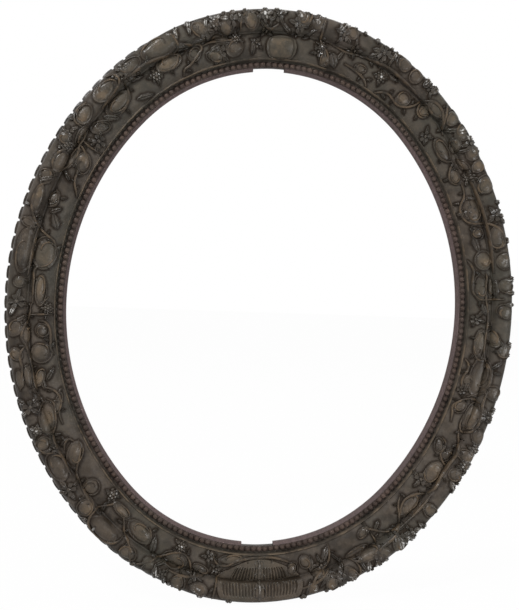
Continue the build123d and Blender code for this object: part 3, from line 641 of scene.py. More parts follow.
def flower_motif():
    """A blossom of five cupped petals round a button."""
    petals = []
    for number in range(5):
        clear_selection()
        bpy.ops.mesh.primitive_grid_add(x_subdivisions=7, y_subdivisions=6, size=2)
        petal = bpy.context.object
        x, y = points_of(petal)[:, :2].T
        spread = np.clip(1 - np.abs(x) ** 2.6, 0, 1) ** 0.6 * (0.75 + 0.25 * x)
        along, aside = 0.54 + 0.46 * x, 0.50 * y * spread
        cup = np.where(np.abs(y) > 0.99, 0, (0.42 + 0.30 * x + 0.16 * np.abs(y)) * (spread > 0.01))
        turn = 2 * pi * number / 5 + 0.3
        turned_x, turned_y = along * cos(turn) - aside * sin(turn), along * sin(turn) + aside * cos(turn)
        move_points(petal, np.stack([turned_x, turned_y, cup], axis=-1))
        petals.append(petal)
    clear_selection()
    bpy.ops.mesh.primitive_uv_sphere_add(segments=10, ring_count=6, radius=0.26, location=(0, 0, 0.5))
    bpy.ops.object.transform_apply(location=True, rotation=False, scale=False)
    petals.append(bpy.context.object)
    return joined(petals, "flower_motif")


def berry_motif():
    """One round berry."""
    clear_selection()
    bpy.ops.mesh.primitive_ico_sphere_add(subdivisions=2, radius=1)
    return bpy.context.object


def pearl_motif():
    """A pearl, cut flat below."""
    clear_selection()
    bpy.ops.mesh.primitive_uv_sphere_add(segments=12, ring_count=8, radius=1)
    with whole_mesh():
        cut = (0, 0, PEARL_CUT)
        bpy.ops.mesh.bisect(plane_co=cut, plane_no=(0, 0, 1), clear_inner=True, use_fill=True)
    return bpy.context.object


def rim_leaf_motif():
    """A blocky leaf of the rim: a cube with softened corners."""
    clear_selection()
    bpy.ops.mesh.primitive_cube_add(size=2)
    motif = bpy.context.object
    with whole_mesh():
        bpy.ops.mesh.subdivide(number_cuts=2, smoothness=0.3)
    points = points_of(motif)
    move_points(motif, points / np.abs(points).max(axis=0))
    return motif


# Materials


def feed(tree, socket, value):
    """Gives a socket another node's output, a number or a colour."""
    if isinstance(value, bpy.types.NodeSocket):
        tree.links.new(value, socket)
    elif socket.type == "RGBA":
        socket.default_value = (*value, 1)
    else:
        socket.default_value = value


def give(tree, item, **values):
    """Gives a node its settings and feeds its sockets by name, with an underscore for a space."""
    for name, value in values.items():
        if hasattr(item, name):
            setattr(item, name, value)
        else:
            feed(tree, item.inputs[name.replace("_", " ")], value)


def node(tree, kind, *feeds, **values):
    """A shader node to the left of those before it, its first sockets fed in order and others by name."""
    new = tree.nodes.new(kind)
    new.location = (-200 * len(tree.nodes), 0)
    give(tree, new, **values)
    for socket, value in zip(new.inputs, feeds):
        feed(tree, socket, value)
    return new


def finish_of(name):
    """An empty node material with its tree and its shader."""
    material = bpy.data.materials.new(name)
    material.use_nodes = True
    tree = material.node_tree
    return material, tree, node_of(tree, "BSDF_PRINCIPLED")


def node_of(tree, kind):
    """The first node of a kind in a tree."""
    return next(item for item in tree.nodes if item.type == kind)


def mixed(tree, factor, one, two):
    """A colour between two, by a factor."""
    mix = node(tree, "ShaderNodeMix", data_type="RGBA")
    for socket, value in zip((mix.inputs[0], mix.inputs[6], mix.inputs[7]), (factor, one, two)):
        feed(tree, socket, value)
    return mix.outputs[2]


def ramp(tree, source, low, high, start=0.0, end=1.0):
    """A number carried from one range to another."""
    return node(tree, "ShaderNodeMapRange", source, low, high, start, end).outputs[0]


def product(tree, one, two):
    """Two numbers multiplied."""
    return node(tree, "ShaderNodeMath", one, two, operation="MULTIPLY").outputs[0]


def noise(tree, scale, detail=4.0, roughness=0.55):
    """Cloudy noise over the object's own coordinates."""
    places = node(tree, "ShaderNodeTexCoord").outputs["Object"]
    cloud = node(tree, "ShaderNodeTexNoise", Vector=places, Scale=scale, Detail=detail)
    give(tree, cloud, Roughness=roughness)
    return cloud.outputs["Fac"]


def add_bump(tree, shader, source, strength, distance):
    """Raises a surface by a number, added to what raises it already."""
    bump = node(tree, "ShaderNodeBump", Strength=strength, Distance=distance, Height=source)
    if shader.inputs["Normal"].links:
        feed(tree, bump.inputs["Normal"], shader.inputs["Normal"].links[0].from_socket)
    feed(tree, shader.inputs["Normal"], bump.outputs["Normal"])


def darker(tone, share):
    """A colour at a share of its light."""
    return tuple(share * part for part in tone)


# The bronze's bumps, from fine to coarse: noise scale, noise roughness, strength, distance
BRONZE_BUMPS = ((900.0, 0.6, 0.25, 0.4 * MM), (140.0, 0.5, 0.45, 1.9 * MM), (48.0, 0.5, 0.55, 4.5 * MM))


def bronze(name, crest_wear_and_light=1.0, roughness=0.42, light=1.0, gloss=0.22, tint=(1.0, 1.0, 1.0), glint=False):
    """Aged bronze paint: cloudy brown-black, with grime and painted shade in the hollows, ochre wear and
    painted highlights on the crests, and painted glints on the tops where asked.
    """
    material, tree, shader = finish_of(name)
    given = (chosen("ground"), chosen("dirt"), chosen("worn"))
    ground, dirt, worn = (tuple(light * part * cast for part, cast in zip(each, tint)) for each in given)
    patches = ramp(tree, noise(tree, 42.0, 6.0, 0.6), 0.38, 0.60)
    base = mixed(tree, patches, darker(ground, 0.45), ground)
    moss = ramp(tree, noise(tree, 11.0, 3.0, 0.5), 0.42, 0.62, 0.0, 0.7)
    base = mixed(tree, moss, base, (0.66 * ground[0], 0.75 * ground[1], 0.74 * ground[2]))
    height = node(tree, "ShaderNodeAttribute", attribute_name="worn").outputs["Fac"]
    # Ochre wear with painted highlights on the crests, in patches
    crest = ramp(tree, height, 0.45, 1.0, 0.0, crest_wear_and_light)
    rubbing_and_sheen = ramp(tree, noise(tree, 75.0, 4.0, 0.6), 0.42, 0.58, 0.05, 1.0)
    base = mixed(tree, product(tree, crest, rubbing_and_sheen), base, worn)
    # Grime with painted shade where the level is low: the hollows and the feet of things
    base = mixed(tree, ramp(tree, height, 0.0, 0.42, 0.95, 0.0), base, dirt)
    # Painted glints: pale specks on the highest parts stand in for points of light
    if glint:
        glint_spots = ramp(tree, noise(tree, 190.0, 2.0, 0.5), 0.50, 0.57)
        base = mixed(tree, product(tree, ramp(tree, height, 0.62, 0.9), glint_spots), base, chosen("glint"))
    smear = ramp(tree, noise(tree, 90.0, 3.0, 0.5), 0.3, 0.7, roughness - 0.08, roughness + 0.14)
    give(tree, shader, Base_Color=base, Roughness=smear, Specular_IOR_Level=gloss)
    for scale, rough, strength, distance in BRONZE_BUMPS:
        add_bump(tree, shader, noise(tree, scale, 3.0, rough), strength, distance)
    return material


def wood(name, colour_name, stretch=(6.0, 6.0, 1.0)):
    """Plain wood with long grain, aged and a little dusty."""
    material, tree, shader = finish_of(name)
    tone = chosen(colour_name)
    places = node(tree, "ShaderNodeTexCoord").outputs["Object"]
    places = node(tree, "ShaderNodeMapping", Vector=places, Scale=stretch).outputs[0]
    grain = node(tree, "ShaderNodeTexNoise", Vector=places, Scale=60.0, Detail=8.0)
    give(tree, grain, Roughness=0.65, Distortion=0.6)
    grain = grain.outputs["Fac"]
    base = mixed(tree, ramp(tree, grain, 0.35, 0.65), darker(tone, 0.55), tone)
    stain = ramp(tree, noise(tree, 9.0), 0.35, 0.7, 0.0, 0.5)
    give(tree, shader, Base_Color=mixed(tree, stain, base, darker(tone, 0.4)), Roughness=0.72)
    add_bump(tree, shader, grain, 0.25, 0.8 * MM)
    return material


def metal(name, colour_name, roughness):
    """Small metal fittings, dulled by age."""
    material, tree, shader = finish_of(name)
    tone = chosen(colour_name)
    spots = ramp(tree, noise(tree, 260.0), 0.38, 0.66)
    dull = ramp(tree, spots, 0.0, 1.0, roughness, roughness + 0.25)
    give(tree, shader, Base_Color=mixed(tree, spots, tone, darker(tone, 0.45)), Metallic=1.0, Roughness=dull)
    add_bump(tree, shader, noise(tree, 1500.0, 2.0), 0.15, 0.2 * MM)
    return material


# Each finish: what makes it, and its settings
FINISH_ROWS = {
    "bronze_ground": (bronze, dict(crest_wear_and_light=1.0, roughness=0.40, light=1.45, gloss=0.09)),
    "bronze_lobe": (
        bronze, dict(crest_wear_and_light=0.55, roughness=0.30, light=1.40, gloss=0.20, tint=(1.03, 0.98, 0.90))
    ),
    "bronze_vine": (
        bronze, dict(crest_wear_and_light=0.7, roughness=0.34, light=0.80, gloss=0.20, tint=(1.04, 0.96, 0.86))
    ),
    "bronze_bright": (
        bronze, dict(crest_wear_and_light=0.5, roughness=0.26, light=0.95, gloss=0.26, tint=(1.02, 0.98, 0.92), glint=True)
    ),
    "bronze_pearl": (
        bronze, dict(crest_wear_and_light=0.22, roughness=0.45, light=1.30, gloss=0.10, tint=(1.08, 0.93, 0.96))
    ),
    "bronze_rim": (bronze, dict(crest_wear_and_light=0.25, roughness=0.32, light=0.70, gloss=0.18)),
    "sight_lip_finish": (wood, dict(colour_name="lip")),
    "back_wood": (wood, dict(colour_name="wood")),
    "dowel_wood": (wood, dict(colour_name="dowel", stretch=(1.0, 6.0, 6.0))),
    "screw_steel": (metal, dict(colour_name="steel", roughness=0.4)),
    "brass_fittings": (metal, dict(colour_name="brass", roughness=0.32)),
}
FINISHES = {}


def finish(name):
    """One of the frame's finishes, made when it is first asked for."""
    if name not in FINISHES:
        maker, settings = FINISH_ROWS[name]
        FINISHES[name] = maker(name, **settings)
    return FINISHES[name]


# Ornament tables. Places are a clock in degrees and millimetres out from the sight edge, and sizes are
# millimetres too. Most rows are forms seen in the photograph, and the others fill the gaps between them.

# Lobes: clock, across, half length, half width, and a turn where there is one
LOBES = [
    (6.8, 58, 8, 8), (4, 61, 7, 8), (14.4, 59, 6, 6), (19.3, 29, 6, 5), (27, 60, 8.5, 8),
    (31.9, 30, 9, 7, 20), (37.3, 39, 8, 8), (39.3, 49.5, 16, 4.5), (30.6, 58, 8, 8),
    (10.6, 22, 6, 6, 30), (42.5, 59, 8, 7, -20), (46.5, 60, 8, 9), (51.3, 59.5, 9.5, 9.5),
    (54.8, 58, 7, 8), (48, 46, 9, 5), (47.5, 30, 17, 6), (54.4, 28, 10, 6, 10), (53, 44, 10, 4),
    (63.8, 33, 16, 12), (71.5, 54, 12, 7), (59, 57, 9, 8), (77, 57, 9, 8), (82.6, 27, 15, 8),
    (83, 41, 13, 4), (76, 34, 13, 9), (82.5, 58, 9, 8), (88.3, 55, 9, 8), (69.5, 33, 6, 8),
    (94.7, 45.5, 9, 6), (96.7, 30, 16, 6), (104.3, 38, 22, 11), (105.8, 25, 7, 6), (113.9, 43, 20, 8.5),
    (112.6, 26, 9, 6), (107, 58, 10, 8), (97.5, 60, 9, 7), (117.5, 58, 10, 8), (124.6, 37, 8, 7),
    (123.6, 23, 8, 5), (130, 35, 14, 9), (122.5, 57, 9, 8), (127.5, 57, 9, 8), (139.3, 37, 19, 10),
    (137.3, 57, 8, 7), (147, 60, 9, 8), (151.5, 58, 9, 8), (153.8, 49, 13, 6), (152.6, 24.5, 7, 5),
    (156.2, 41, 14, 5), (159.6, 60, 8, 9), (164, 60, 9, 8), (168.5, 59, 8, 7), (166, 46, 8, 6),
    (168.8, 28, 6, 7), (172.2, 33, 5, 7), (187.5, 21, 12, 5, 10), (194, 38, 9, 5, 15),
    (193.5, 58, 11, 7), (198, 59, 9, 7), (200.4, 38, 17, 8), (205.5, 53, 9, 7, 30),
    (211, 31, 17, 10, -10), (217.4, 26, 13, 5), (217.8, 56, 17, 10), (210.5, 57, 9, 7),
    (223.8, 54, 8, 9), (226.3, 35, 9, 10), (234.5, 55, 19, 9.5), (234.6, 31, 17, 8, -35),
    (244.7, 42, 20, 8, -12), (240, 57, 8, 8), (247, 25, 10, 4, -10), (254.5, 50, 11, 4),
    (253.8, 38, 9, 5), (259, 31, 10, 10), (254.5, 60, 11, 5), (259.6, 59, 8, 6),
    (263.5, 46, 13, 4.5, -8), (264, 28, 8, 6), (265, 58, 9, 7), (273, 30, 15, 6), (274.6, 54, 6, 7),
    (281, 54, 21, 9), (281.3, 31, 17, 11), (292, 54.5, 17, 4.5, 8), (293.4, 39, 9, 5),
    (297.2, 56, 8, 8), (301, 50.5, 13, 6.5), (303, 27, 11, 7, 15), (303.2, 40, 12, 3.5),
    (308, 45, 10, 4.5, 10), (311.8, 56, 10, 8), (286.9, 56, 5, 8), (312, 33, 12, 6, -35),
    (305.5, 59, 7, 6), (318.3, 56, 17, 9.5), (318.5, 36, 17, 9.5), (325.5, 57, 12, 7),
    (332.4, 56, 18, 9.5), (333, 37, 13, 8), (341.5, 57, 10, 8), (339, 33, 8, 7), (347, 50, 8, 6),
    (352.8, 55, 9, 8), (345.5, 41, 10, 5), (348.4, 28, 10, 9), (343.3, 24, 8, 6),
]
# Leaves: clock, across, half length, half width, turn
LEAVES = [
    (4.2, 62.5, 8.5, 4.5, 85), (6.8, 62, 9, 5.5, 90), (10, 25.5, 10.5, 4.5, -70),
    (12.6, 25, 10, 6.5, -60), (12.3, 62.5, 9, 4.5, 60), (24.6, 62.5, 7, 3.5, 90), (27.2, 42, 7, 3.5, 0),
    (33.3, 62.5, 8, 3.5, 80), (35.8, 62.5, 8.5, 4.5, 75), (44.8, 51, 8, 3.5, 50),
    (46.5, 60.5, 9, 5, 60), (47.4, 46, 8.5, 3.5, -10), (68.5, 32, 8.5, 5, 60), (72, 28.5, 11.5, 5, 10),
    (81.5, 62.5, 9, 3.5, 90), (84, 62.5, 9, 3.5, 90), (86.8, 62, 8.5, 3.5, 90), (83, 46, 12, 3.5, 0),
    (88, 32, 8.5, 4.5, 20), (96.5, 62.5, 8.5, 5, 90), (107, 25.5, 9, 3.5, -10),
    (130, 62.5, 10, 4.5, 60), (137.7, 57, 8.5, 5, 90), (141, 62.5, 8.5, 3.5, 90),
    (143.5, 62.5, 8.5, 3.5, 85), (147, 60.5, 11.5, 7, 70), (148.9, 26.5, 8, 3.5, 30),
    (155.6, 61, 8.5, 4.5, 60), (163.6, 27, 11.5, 5, 50), (167.6, 34, 12, 4.5, 80),
    (193.5, 59, 13, 5, -15), (194.5, 38.5, 10, 4.5, -5), (203.4, 59.5, 10, 4.5, -60),
    (206.5, 34, 12, 5, -70), (238.3, 35, 7, 3, -60), (252.5, 35.5, 10, 3.5, 0),
    (254, 25.5, 10, 3.5, -40), (254.5, 49.5, 14, 3.5, 0), (274.7, 52, 9, 5, 80),
    (281.3, 57.5, 22, 7, 5), (287.2, 57, 8, 3.5, 80), (288.7, 29, 10, 5.5, 30), (291, 32, 8, 3.5, -50),
    (282.6, 44.5, 11.5, 3.5, 0), (296.6, 54, 10, 3.5, -50), (308, 44.5, 10, 4.5, 5),
    (312, 32, 10, 5, -50), (315.2, 30.5, 10.5, 4.5, -50), (324.3, 20.5, 11.5, 3.5, -20),
    (336.9, 61, 9, 3.5, 70), (339.8, 61, 9, 3.5, 70), (340.8, 44, 11.5, 3.5, 0), (344, 33, 9, 4, 20),
    (352.8, 26.5, 9, 3.5, 80), (165, 52, 14, 2.6, 30), (165, 52, 14, 2.6, 100),
    (165.4, 51, 13, 2.6, 150), (166, 50, 12, 2.6, -25), (161.6, 33, 11, 2.8, -60),
    (169.4, 57, 11, 2.8, 60), (0.6, 47, 10, 3, -30), (5.6, 45, 10, 3, 40), (13.8, 34, 9, 3, 70),
    (347.6, 46, 10, 3, 20), (337, 47, 10, 3, -15), (20.8, 50, 9, 3, 35), (50.2, 52, 10, 3, 70),
    (101, 52, 10, 3, -40), (146, 44, 11, 3, -30), (156.4, 56, 10, 3, 100), (203, 47, 11, 3, 40),
    (221, 38, 10, 3, -70), (249.6, 45, 10, 3, 30), (267, 50, 9, 3, -60), (299, 36, 9, 3, 50),
    (325, 43, 10, 3, -20),
]
# Buds on the outer edge: clock, across, half length, half width, turn
BUDS = [
    (2.9, 65, 4, 3, 90), (14.8, 65, 5, 3.5, 80), (17, 66, 4, 3, 90), (20, 65, 5, 4, 100),
    (23.4, 66, 4, 3, 80), (33.2, 66, 5, 3, 90), (35.6, 66, 5, 4, 85), (48.6, 66, 6, 5, 90),
    (51.5, 67, 7, 6, 90), (63.8, 66, 5, 4, 95), (67, 66, 4, 3, 90), (72.8, 66, 4, 3, 90),
    (81, 66, 6, 4, 90), (84.2, 66, 5, 4, 90), (95.6, 66, 6, 4, 90), (98, 66, 6, 4, 90),
    (110.6, 65, 5, 4, 100), (113.2, 66, 6, 5, 90), (120.4, 67, 5, 4, 90), (124.6, 67, 5, 4, 90),
    (128.8, 66, 5, 3, 90), (131, 66, 4, 3, 90), (140.7, 66, 6, 5, 90), (144.2, 66, 7, 6, 90),
    (147.2, 66, 6, 5, 90), (153, 66, 5, 4, 90), (155, 66, 4, 3, 80), (159.4, 66, 7, 6, 90),
    (162.4, 66, 7, 5, 80), (165.6, 66, 6, 3, 70), (170.7, 66, 5, 6, 90), (186.4, 66, 6, 5, 90),
    (192.6, 66, 5, 5, 80), (197, 65, 4, 3, 90), (200.8, 65, 5, 3, 120), (208.2, 65, 5, 3, 60),
    (339.6, 65, 6, 3, 60), (347.4, 65, 5, 4, 90), (349.2, 65, 5, 4, 90), (355.8, 66, 4, 4, 90),
    (358.2, 66, 4, 4, 90),
]
# Flowers: clock, across, radius
FLOWERS = [
    (22.2, 56, 8.5), (42.4, 22.5, 7), (63.9, 31, 8.5), (66.3, 58, 8.5), (90.4, 22.5, 7),
    (108.6, 21.5, 5.5), (112.6, 59, 8.5), (133, 26.5, 8.5), (152.4, 58, 8), (161.2, 56, 10.5),
    (193, 21.5, 6.5), (201.9, 57, 5.5), (229, 57, 8.5), (248.2, 56, 9), (270.4, 56, 9),
    (309.2, 25.5, 8.5), (307, 59.5, 7), (323.7, 59, 8), (344.9, 26.5, 8), (348.6, 58, 8.5),
    (358.4, 59, 7), (342.5, 53, 8), (351.8, 59, 7), (356, 45, 6), (3, 52, 7), (8.4, 29, 6),
    (12.8, 54, 7), (16.4, 45, 6), (353.6, 31, 5.5), (165.2, 37, 7.5), (163.2, 57, 8), (195.2, 46, 7),
    (198.6, 62, 5), (190.6, 33, 5.5), (146.4, 55, 8), (34.6, 60, 6), (49.6, 61, 8), (97, 59, 7),
    (287, 50, 6), (238.4, 49, 6), (127, 60, 6), (143.6, 59, 7),
]
# Bunches of grapes: clock, across, radius of a grape
GRAPES = [
    (3.3, 59.5, 2.1), (9, 35, 1.7), (24.6, 33.5, 2), (56.1, 43.5, 2), (120.6, 61, 2.1),
    (124.7, 61, 2.1), (200.3, 21.5, 2), (221.7, 21.5, 2.1), (243.2, 58, 1.8), (268.9, 21.5, 1.8),
    (304.5, 51, 1.8), (329, 31, 2.1), (345, 58, 2.1), (349, 39, 2), (355.6, 59.5, 2.1),
]
# Vines: places that each stem goes through
VINES = [
    [(15.4, 26), (17.9, 24.5), (20.2, 22.5), (21.7, 20), (22.9, 15.5)],
    [(25.5, 15.5), (26.8, 20), (28.3, 23), (30.2, 22), (31.8, 21), (33.4, 24), (34.6, 31), (35.2, 39),
     (35.3, 46)],
    [(35.6, 43), (36, 36), (37, 31), (38.3, 32), (39, 38)],
    [(35.6, 46), (37.2, 52.5), (39.4, 54), (41.3, 51), (43.2, 44)],
    [(39.5, 63), (41, 56), (43.1, 46), (44.6, 41)],
    [(24.8, 46), (24.4, 57), (25.5, 65), (27.1, 66.5)],
    [(12.6, 50), (13.2, 60), (14.5, 65), (15.9, 60)],
    [(10.5, 42), (15.4, 39), (17.6, 42.5), (20.5, 44.5), (24.2, 47), (28, 47), (34.6, 46)],
    [(2.6, 50), (4.2, 53), (5.3, 60), (5.4, 67)],
    [(8.3, 67), (8.3, 59), (8.2, 46), (9, 38), (10.6, 30), (12, 17)],
    [(45, 28.5), (46.9, 24.3), (48.8, 23.5), (50.4, 28), (51.3, 34), (52.1, 29), (54.4, 22.8),
     (55.9, 24.2), (56.7, 31.7)],
    [(56.7, 32.5), (58.9, 31.5), (60.1, 29), (61.1, 24.5), (62.2, 21), (63.9, 20.3), (65.5, 22.5),
     (66.7, 29), (67.2, 37), (67.5, 45), (68.3, 51.5), (69.9, 58), (71.5, 60.5), (73.2, 58.5),
     (73.9, 50)],
    [(56.5, 45), (60, 46), (67.5, 46.5), (74, 46), (79.3, 45.5)],
    [(75.4, 15.5), (76.5, 18.5), (78.4, 21), (79.6, 20), (80.9, 18.8), (82.8, 18.3), (84.4, 20.8),
     (85.4, 26.7), (85.6, 35)],
    [(79.2, 35), (80, 36), (82.2, 34), (85.9, 34), (88, 36), (91, 37), (95, 36), (99.4, 38.5),
     (101, 45), (102.6, 49), (104.2, 50), (106.1, 48.5), (107.6, 44.5), (108.9, 36), (109.7, 29)],
    [(85.5, 53), (85.5, 44), (85.6, 30)],
    [(93, 36), (93.3, 31), (95, 25.5), (96.9, 23.8), (98.8, 25.3), (100.2, 31), (100, 39)],
    [(106.8, 50.5), (110.2, 50), (111.8, 51.5), (113.6, 52.5), (115.8, 52), (117.5, 47), (118, 40),
     (117.1, 35), (113.9, 33.5)],
    [(100.7, 16.5), (101.7, 20.8), (103.2, 21.8), (104.8, 19.5), (106.4, 18.5), (108, 21)],
    [(110.2, 47.5), (109.7, 39), (110.2, 30), (111.4, 22.7), (113, 18), (114.6, 20), (116.8, 22.3)],
    [(117.9, 35), (119.3, 38.5), (120.9, 44), (122.4, 46.5), (126, 46), (129.4, 45.5), (132.5, 47),
     (134.6, 45)],
    [(121.3, 21.5), (122.1, 27.7), (123.4, 29.5), (125, 28.7), (125.9, 32.7), (126.7, 39.3), (126.8, 45)],
    [(123.4, 48), (124.2, 56), (125.4, 63)],
    [(135, 44), (135.6, 38.3), (136.9, 31.7), (138.8, 27.5), (140.7, 28.3), (142.2, 33.3), (143, 38.5)],
    [(134.6, 47.5), (137, 48), (140, 47.5), (145.1, 47)],
    [(139.7, 20.8), (141.3, 25), (142.9, 34.2), (145.1, 46), (147, 43), (148.9, 35), (150.1, 28.3),
     (151.4, 22.8), (152.9, 19.4)],
    [(145.2, 47), (147, 50), (150.1, 50.5), (153.5, 52.5), (157, 50), (158.6, 44)],
    [(151.4, 45), (151.1, 37), (151.2, 31)],
    [(163.5, 44), (165.4, 50), (167.5, 53), (171.5, 55)],
    [(170.6, 66.5), (169, 58), (167.6, 50), (165.5, 44), (163.6, 37), (162.4, 26), (162, 17)],
    [(157.6, 48), (157.4, 58), (159.2, 67)],
    [(172.2, 25.8), (174, 21.3), (176.6, 17.4), (180, 16.6), (183, 18), (186, 22), (189, 28.5),
     (191, 26), (192.3, 16)],
    [(188, 32.7), (189.8, 42), (190, 52), (190, 66)],
    [(192.3, 42), (193.5, 45.2), (195.4, 48.5), (198, 51), (201, 50.5)],
    [(195.9, 45.5), (196.7, 36), (198, 29.5), (199.6, 27.8), (201.4, 31), (203, 37.7), (204.4, 45),
     (206.1, 55), (208, 63)],
    [(208.2, 67), (210, 57.7), (211.2, 50), (213.4, 43), (215, 35), (216.4, 28)],
    [(208, 40), (207.7, 32), (208.7, 24), (209.6, 20.5)],
    [(213.4, 46), (214, 57), (216.2, 65.5), (219, 66.5), (221.2, 60), (221.9, 48), (220.8, 34),
     (219.3, 24), (217.2, 21)],
    [(222, 47), (225.5, 46), (228.5, 43), (231.2, 39), (233.2, 30), (235.4, 22.5), (237.3, 20.5)],
    [(231, 47), (235, 45.5), (238.5, 46), (240.7, 44), (242.6, 36.7), (245.2, 32), (247.4, 30.5),
     (248.8, 36)],
    [(236.6, 39), (238.1, 34.5), (238.4, 29), (237.4, 25.5)],
    [(242.3, 29), (245.2, 27.5), (247, 22.8), (248.9, 22.8), (250.3, 27), (251.5, 36)],
    [(237.3, 50), (238.3, 60), (240.2, 65.5)],
    [(252.1, 61.7), (256.5, 54.8), (259.5, 55), (261, 49)],
    [(250.6, 43.5), (252.4, 45), (256, 44), (260.9, 47.5), (262.8, 51.5), (265, 48.5), (266.9, 42.5),
     (270, 39.5)],
    [(258.2, 17.5), (259.6, 20.8), (261.2, 20), (262.8, 19.4), (264.4, 20.3), (265.9, 25), (266.2, 31)],
    [(267.5, 42), (267.6, 30), (267.5, 15)],
    [(270, 38), (275, 38.5), (277.7, 38), (278.5, 28), (280.1, 21.5), (282.3, 20.6), (284.2, 24.3),
     (285.2, 33), (286.7, 46), (288, 52.5), (290.2, 58.5), (292.7, 60.2), (294.8, 57.5), (296, 50)],
    [(270.4, 26), (271.5, 21)],
    [(276, 46.5), (279, 46), (283, 46), (287, 45)],
    [(291.3, 41.5), (292, 35), (293.6, 34), (295.4, 40)],
    [(295.6, 16), (297.1, 21), (298.3, 25), (299.9, 27), (301.4, 27), (302.8, 21.8), (304.3, 25),
     (305.7, 34), (306.4, 42)],
    [(298.2, 51), (299.9, 43), (301.5, 39), (304, 37), (305.9, 40.5), (307.8, 40.5), (310.2, 45)],
    [(298.4, 52), (300.2, 57), (302.8, 55), (304, 49)],
    [(307.4, 41), (307, 32), (307.2, 15.5)],
    [(311.6, 43), (313.6, 34), (315.4, 26)],
    [(309.4, 50), (309.6, 60), (311.8, 65.5), (314, 62)],
    [(315, 45.5), (316.9, 47), (319.7, 48.5), (321.7, 51.7), (322, 59), (320.5, 65.8)],
    [(322.4, 48), (322.1, 38.3), (320.9, 31.5), (318.8, 26.5), (316.9, 25.5)],
    [(322.9, 50.5), (325.4, 49.2), (328.5, 49.2), (331, 47.5), (335.9, 46), (336.1, 57), (335, 66)],
    [(330.4, 41.5), (330.7, 33.5), (332.3, 29.5), (334.2, 31), (335.5, 38.3), (336, 46)],
    [(334.8, 16), (335.5, 21.7), (337, 23.3), (338.3, 26.7), (339.9, 31.7), (341.1, 38), (338.9, 45),
     (337.6, 48)],
    [(341.1, 38.3), (343.3, 40), (347.4, 37.5), (350, 40)],
    [(345.1, 32), (345.4, 16)],
    [(350.2, 46), (350.6, 55), (352.4, 64)],
    [(355, 51), (357, 47), (358.5, 51)],
]


def cluster_leaves():
    """Small leaves that spread from under each flower and each bunch of grapes."""
    rows = []
    spots = FLOWERS + [(clock, across, 3.0 * radius) for clock, across, radius in GRAPES]
    for number, (clock, across, radius) in enumerate(spots):
        for ray in range(4):
            turn = 95 * ray + 37 * number
            reach = radius * (1.15 + 0.2 * sin(5 * number + 2 * ray))
            out = across + reach * sin(radians(turn))
            if CLUSTER_SPAN[0] < out < CLUSTER_SPAN[1]:
                shift = OVAL.clock(reach * MM * cos(radians(turn)))
                rows.append((clock + shift, out, 0.72 * radius, 0.36 * radius, turn))
    return rows


def vine_leaflets():
    """Small buds that sprout from the vines, now on one side and now on the other."""
    rows = []
    for number, places in enumerate(VINES):
        for joint in range(1, len(places) - 1):
            (back_clock, back), (clock, across), (next_clock, ahead) = places[joint - 1 : joint + 2]
            heading = atan2((ahead - back) * MM, OVAL.along(next_clock - back_clock))
            side = 1 if (number + joint) % 2 else -1
            turn = heading + side * radians(62 + 18 * sin(4 * number + joint))
            half_length = 3.6 + 1.1 * sin(9 * number + 5 * joint)
            reach = half_length + 1.0
            out = across + reach * sin(turn)
            if BUD_SPAN[0] < out < BUD_SPAN[1]:
                shift = OVAL.clock(reach * MM * cos(turn))
                rows.append((clock + shift, out, half_length, 0.46 * half_length, turn / radians(1)))
    return rows


class Lobe:
    """One lobe of the ornament, a little unlike the next in size, height and turn."""

    def __init__(self, number):
        self.number = number
        self.clock, self.row_across, half_length, half_width, *turn = LOBES[number]
        self.across = self.row_across * MM
        self.half_length = half_length * MM * (1.10 + 0.16 * sin(7 * number))
        self.half_width = half_width * MM * (1.08 + 0.13 * cos(5 * number))
        self.lift = sizes().lobe_lift * (0.80 + 0.45 * sin(2.3 * number) ** 2)
        lean = 30 * sin(3 * number) if half_length < ROUND_LOBE else 0
        self.turn = sum(turn) + 180 * (number % 2) + lean

    def laid(self, motif):
        """A copy of the lobe motif at this lobe's place."""
        return copy_laid(
            motif, self.clock, self.across, self.half_length, self.half_width, self.lift, self.turn
        )

    def scroll(self):
        """Places of the scroll that runs round the lobe and curls in over it."""
        start = OVAL.along(self.clock)
        shrink = float(OVAL.shrink(start, self.across))
        lean = radians(self.turn)
        way = 1 if self.number % 2 else -1
        curl = 430 if self.number % 3 else 560
        steps = 18
        places = []
        for step in range(steps + 1):
            share = step / steps
            angle = radians(67 * self.number) + way * radians(20 + curl * share)
            reach = 1.0 - 0.62 * max(0, (share - 0.62) / 0.38)
            x, y = self.half_length * reach * cos(angle), self.half_width * reach * sin(angle)
            tilt = 1 + reach * (LOBE_TILT[0] * cos(angle) + LOBE_TILT[1] * sin(angle))
            dome = self.lift * (0.80 - LOBE_FALL * reach**2) * tilt - MOTIF_SINK
            along = start + (x * cos(lean) - y * sin(lean)) * shrink
            out = self.across + x * sin(lean) + y * cos(lean)
            places.append((along, out, dome * min(1, (1 - reach) / 0.08)))
        return places


def lobes_in(quarter):
    """The lobes of one quarter."""
    return [Lobe(number) for number, row in enumerate(LOBES) if quarter_of(row[0]) == quarter]


# Operators


class VINEFRAME_OT_lobes(Operator):
    """Lay the smooth lobes of the ornament on the front"""

    bl_idname = "vineframe.lobes"
    bl_label = "Lobes"

    def execute(self, context):
        motif = lobe_motif()

        def copies_in(quarter):
            return [lobe.laid(motif) for lobe in lobes_in(quarter)]

        lay_quarters(copies_in, "lobes", sizes().lobe_lift, "bronze_lobe", "domes")
        bpy.data.objects.remove(motif)
        return {"FINISHED"}


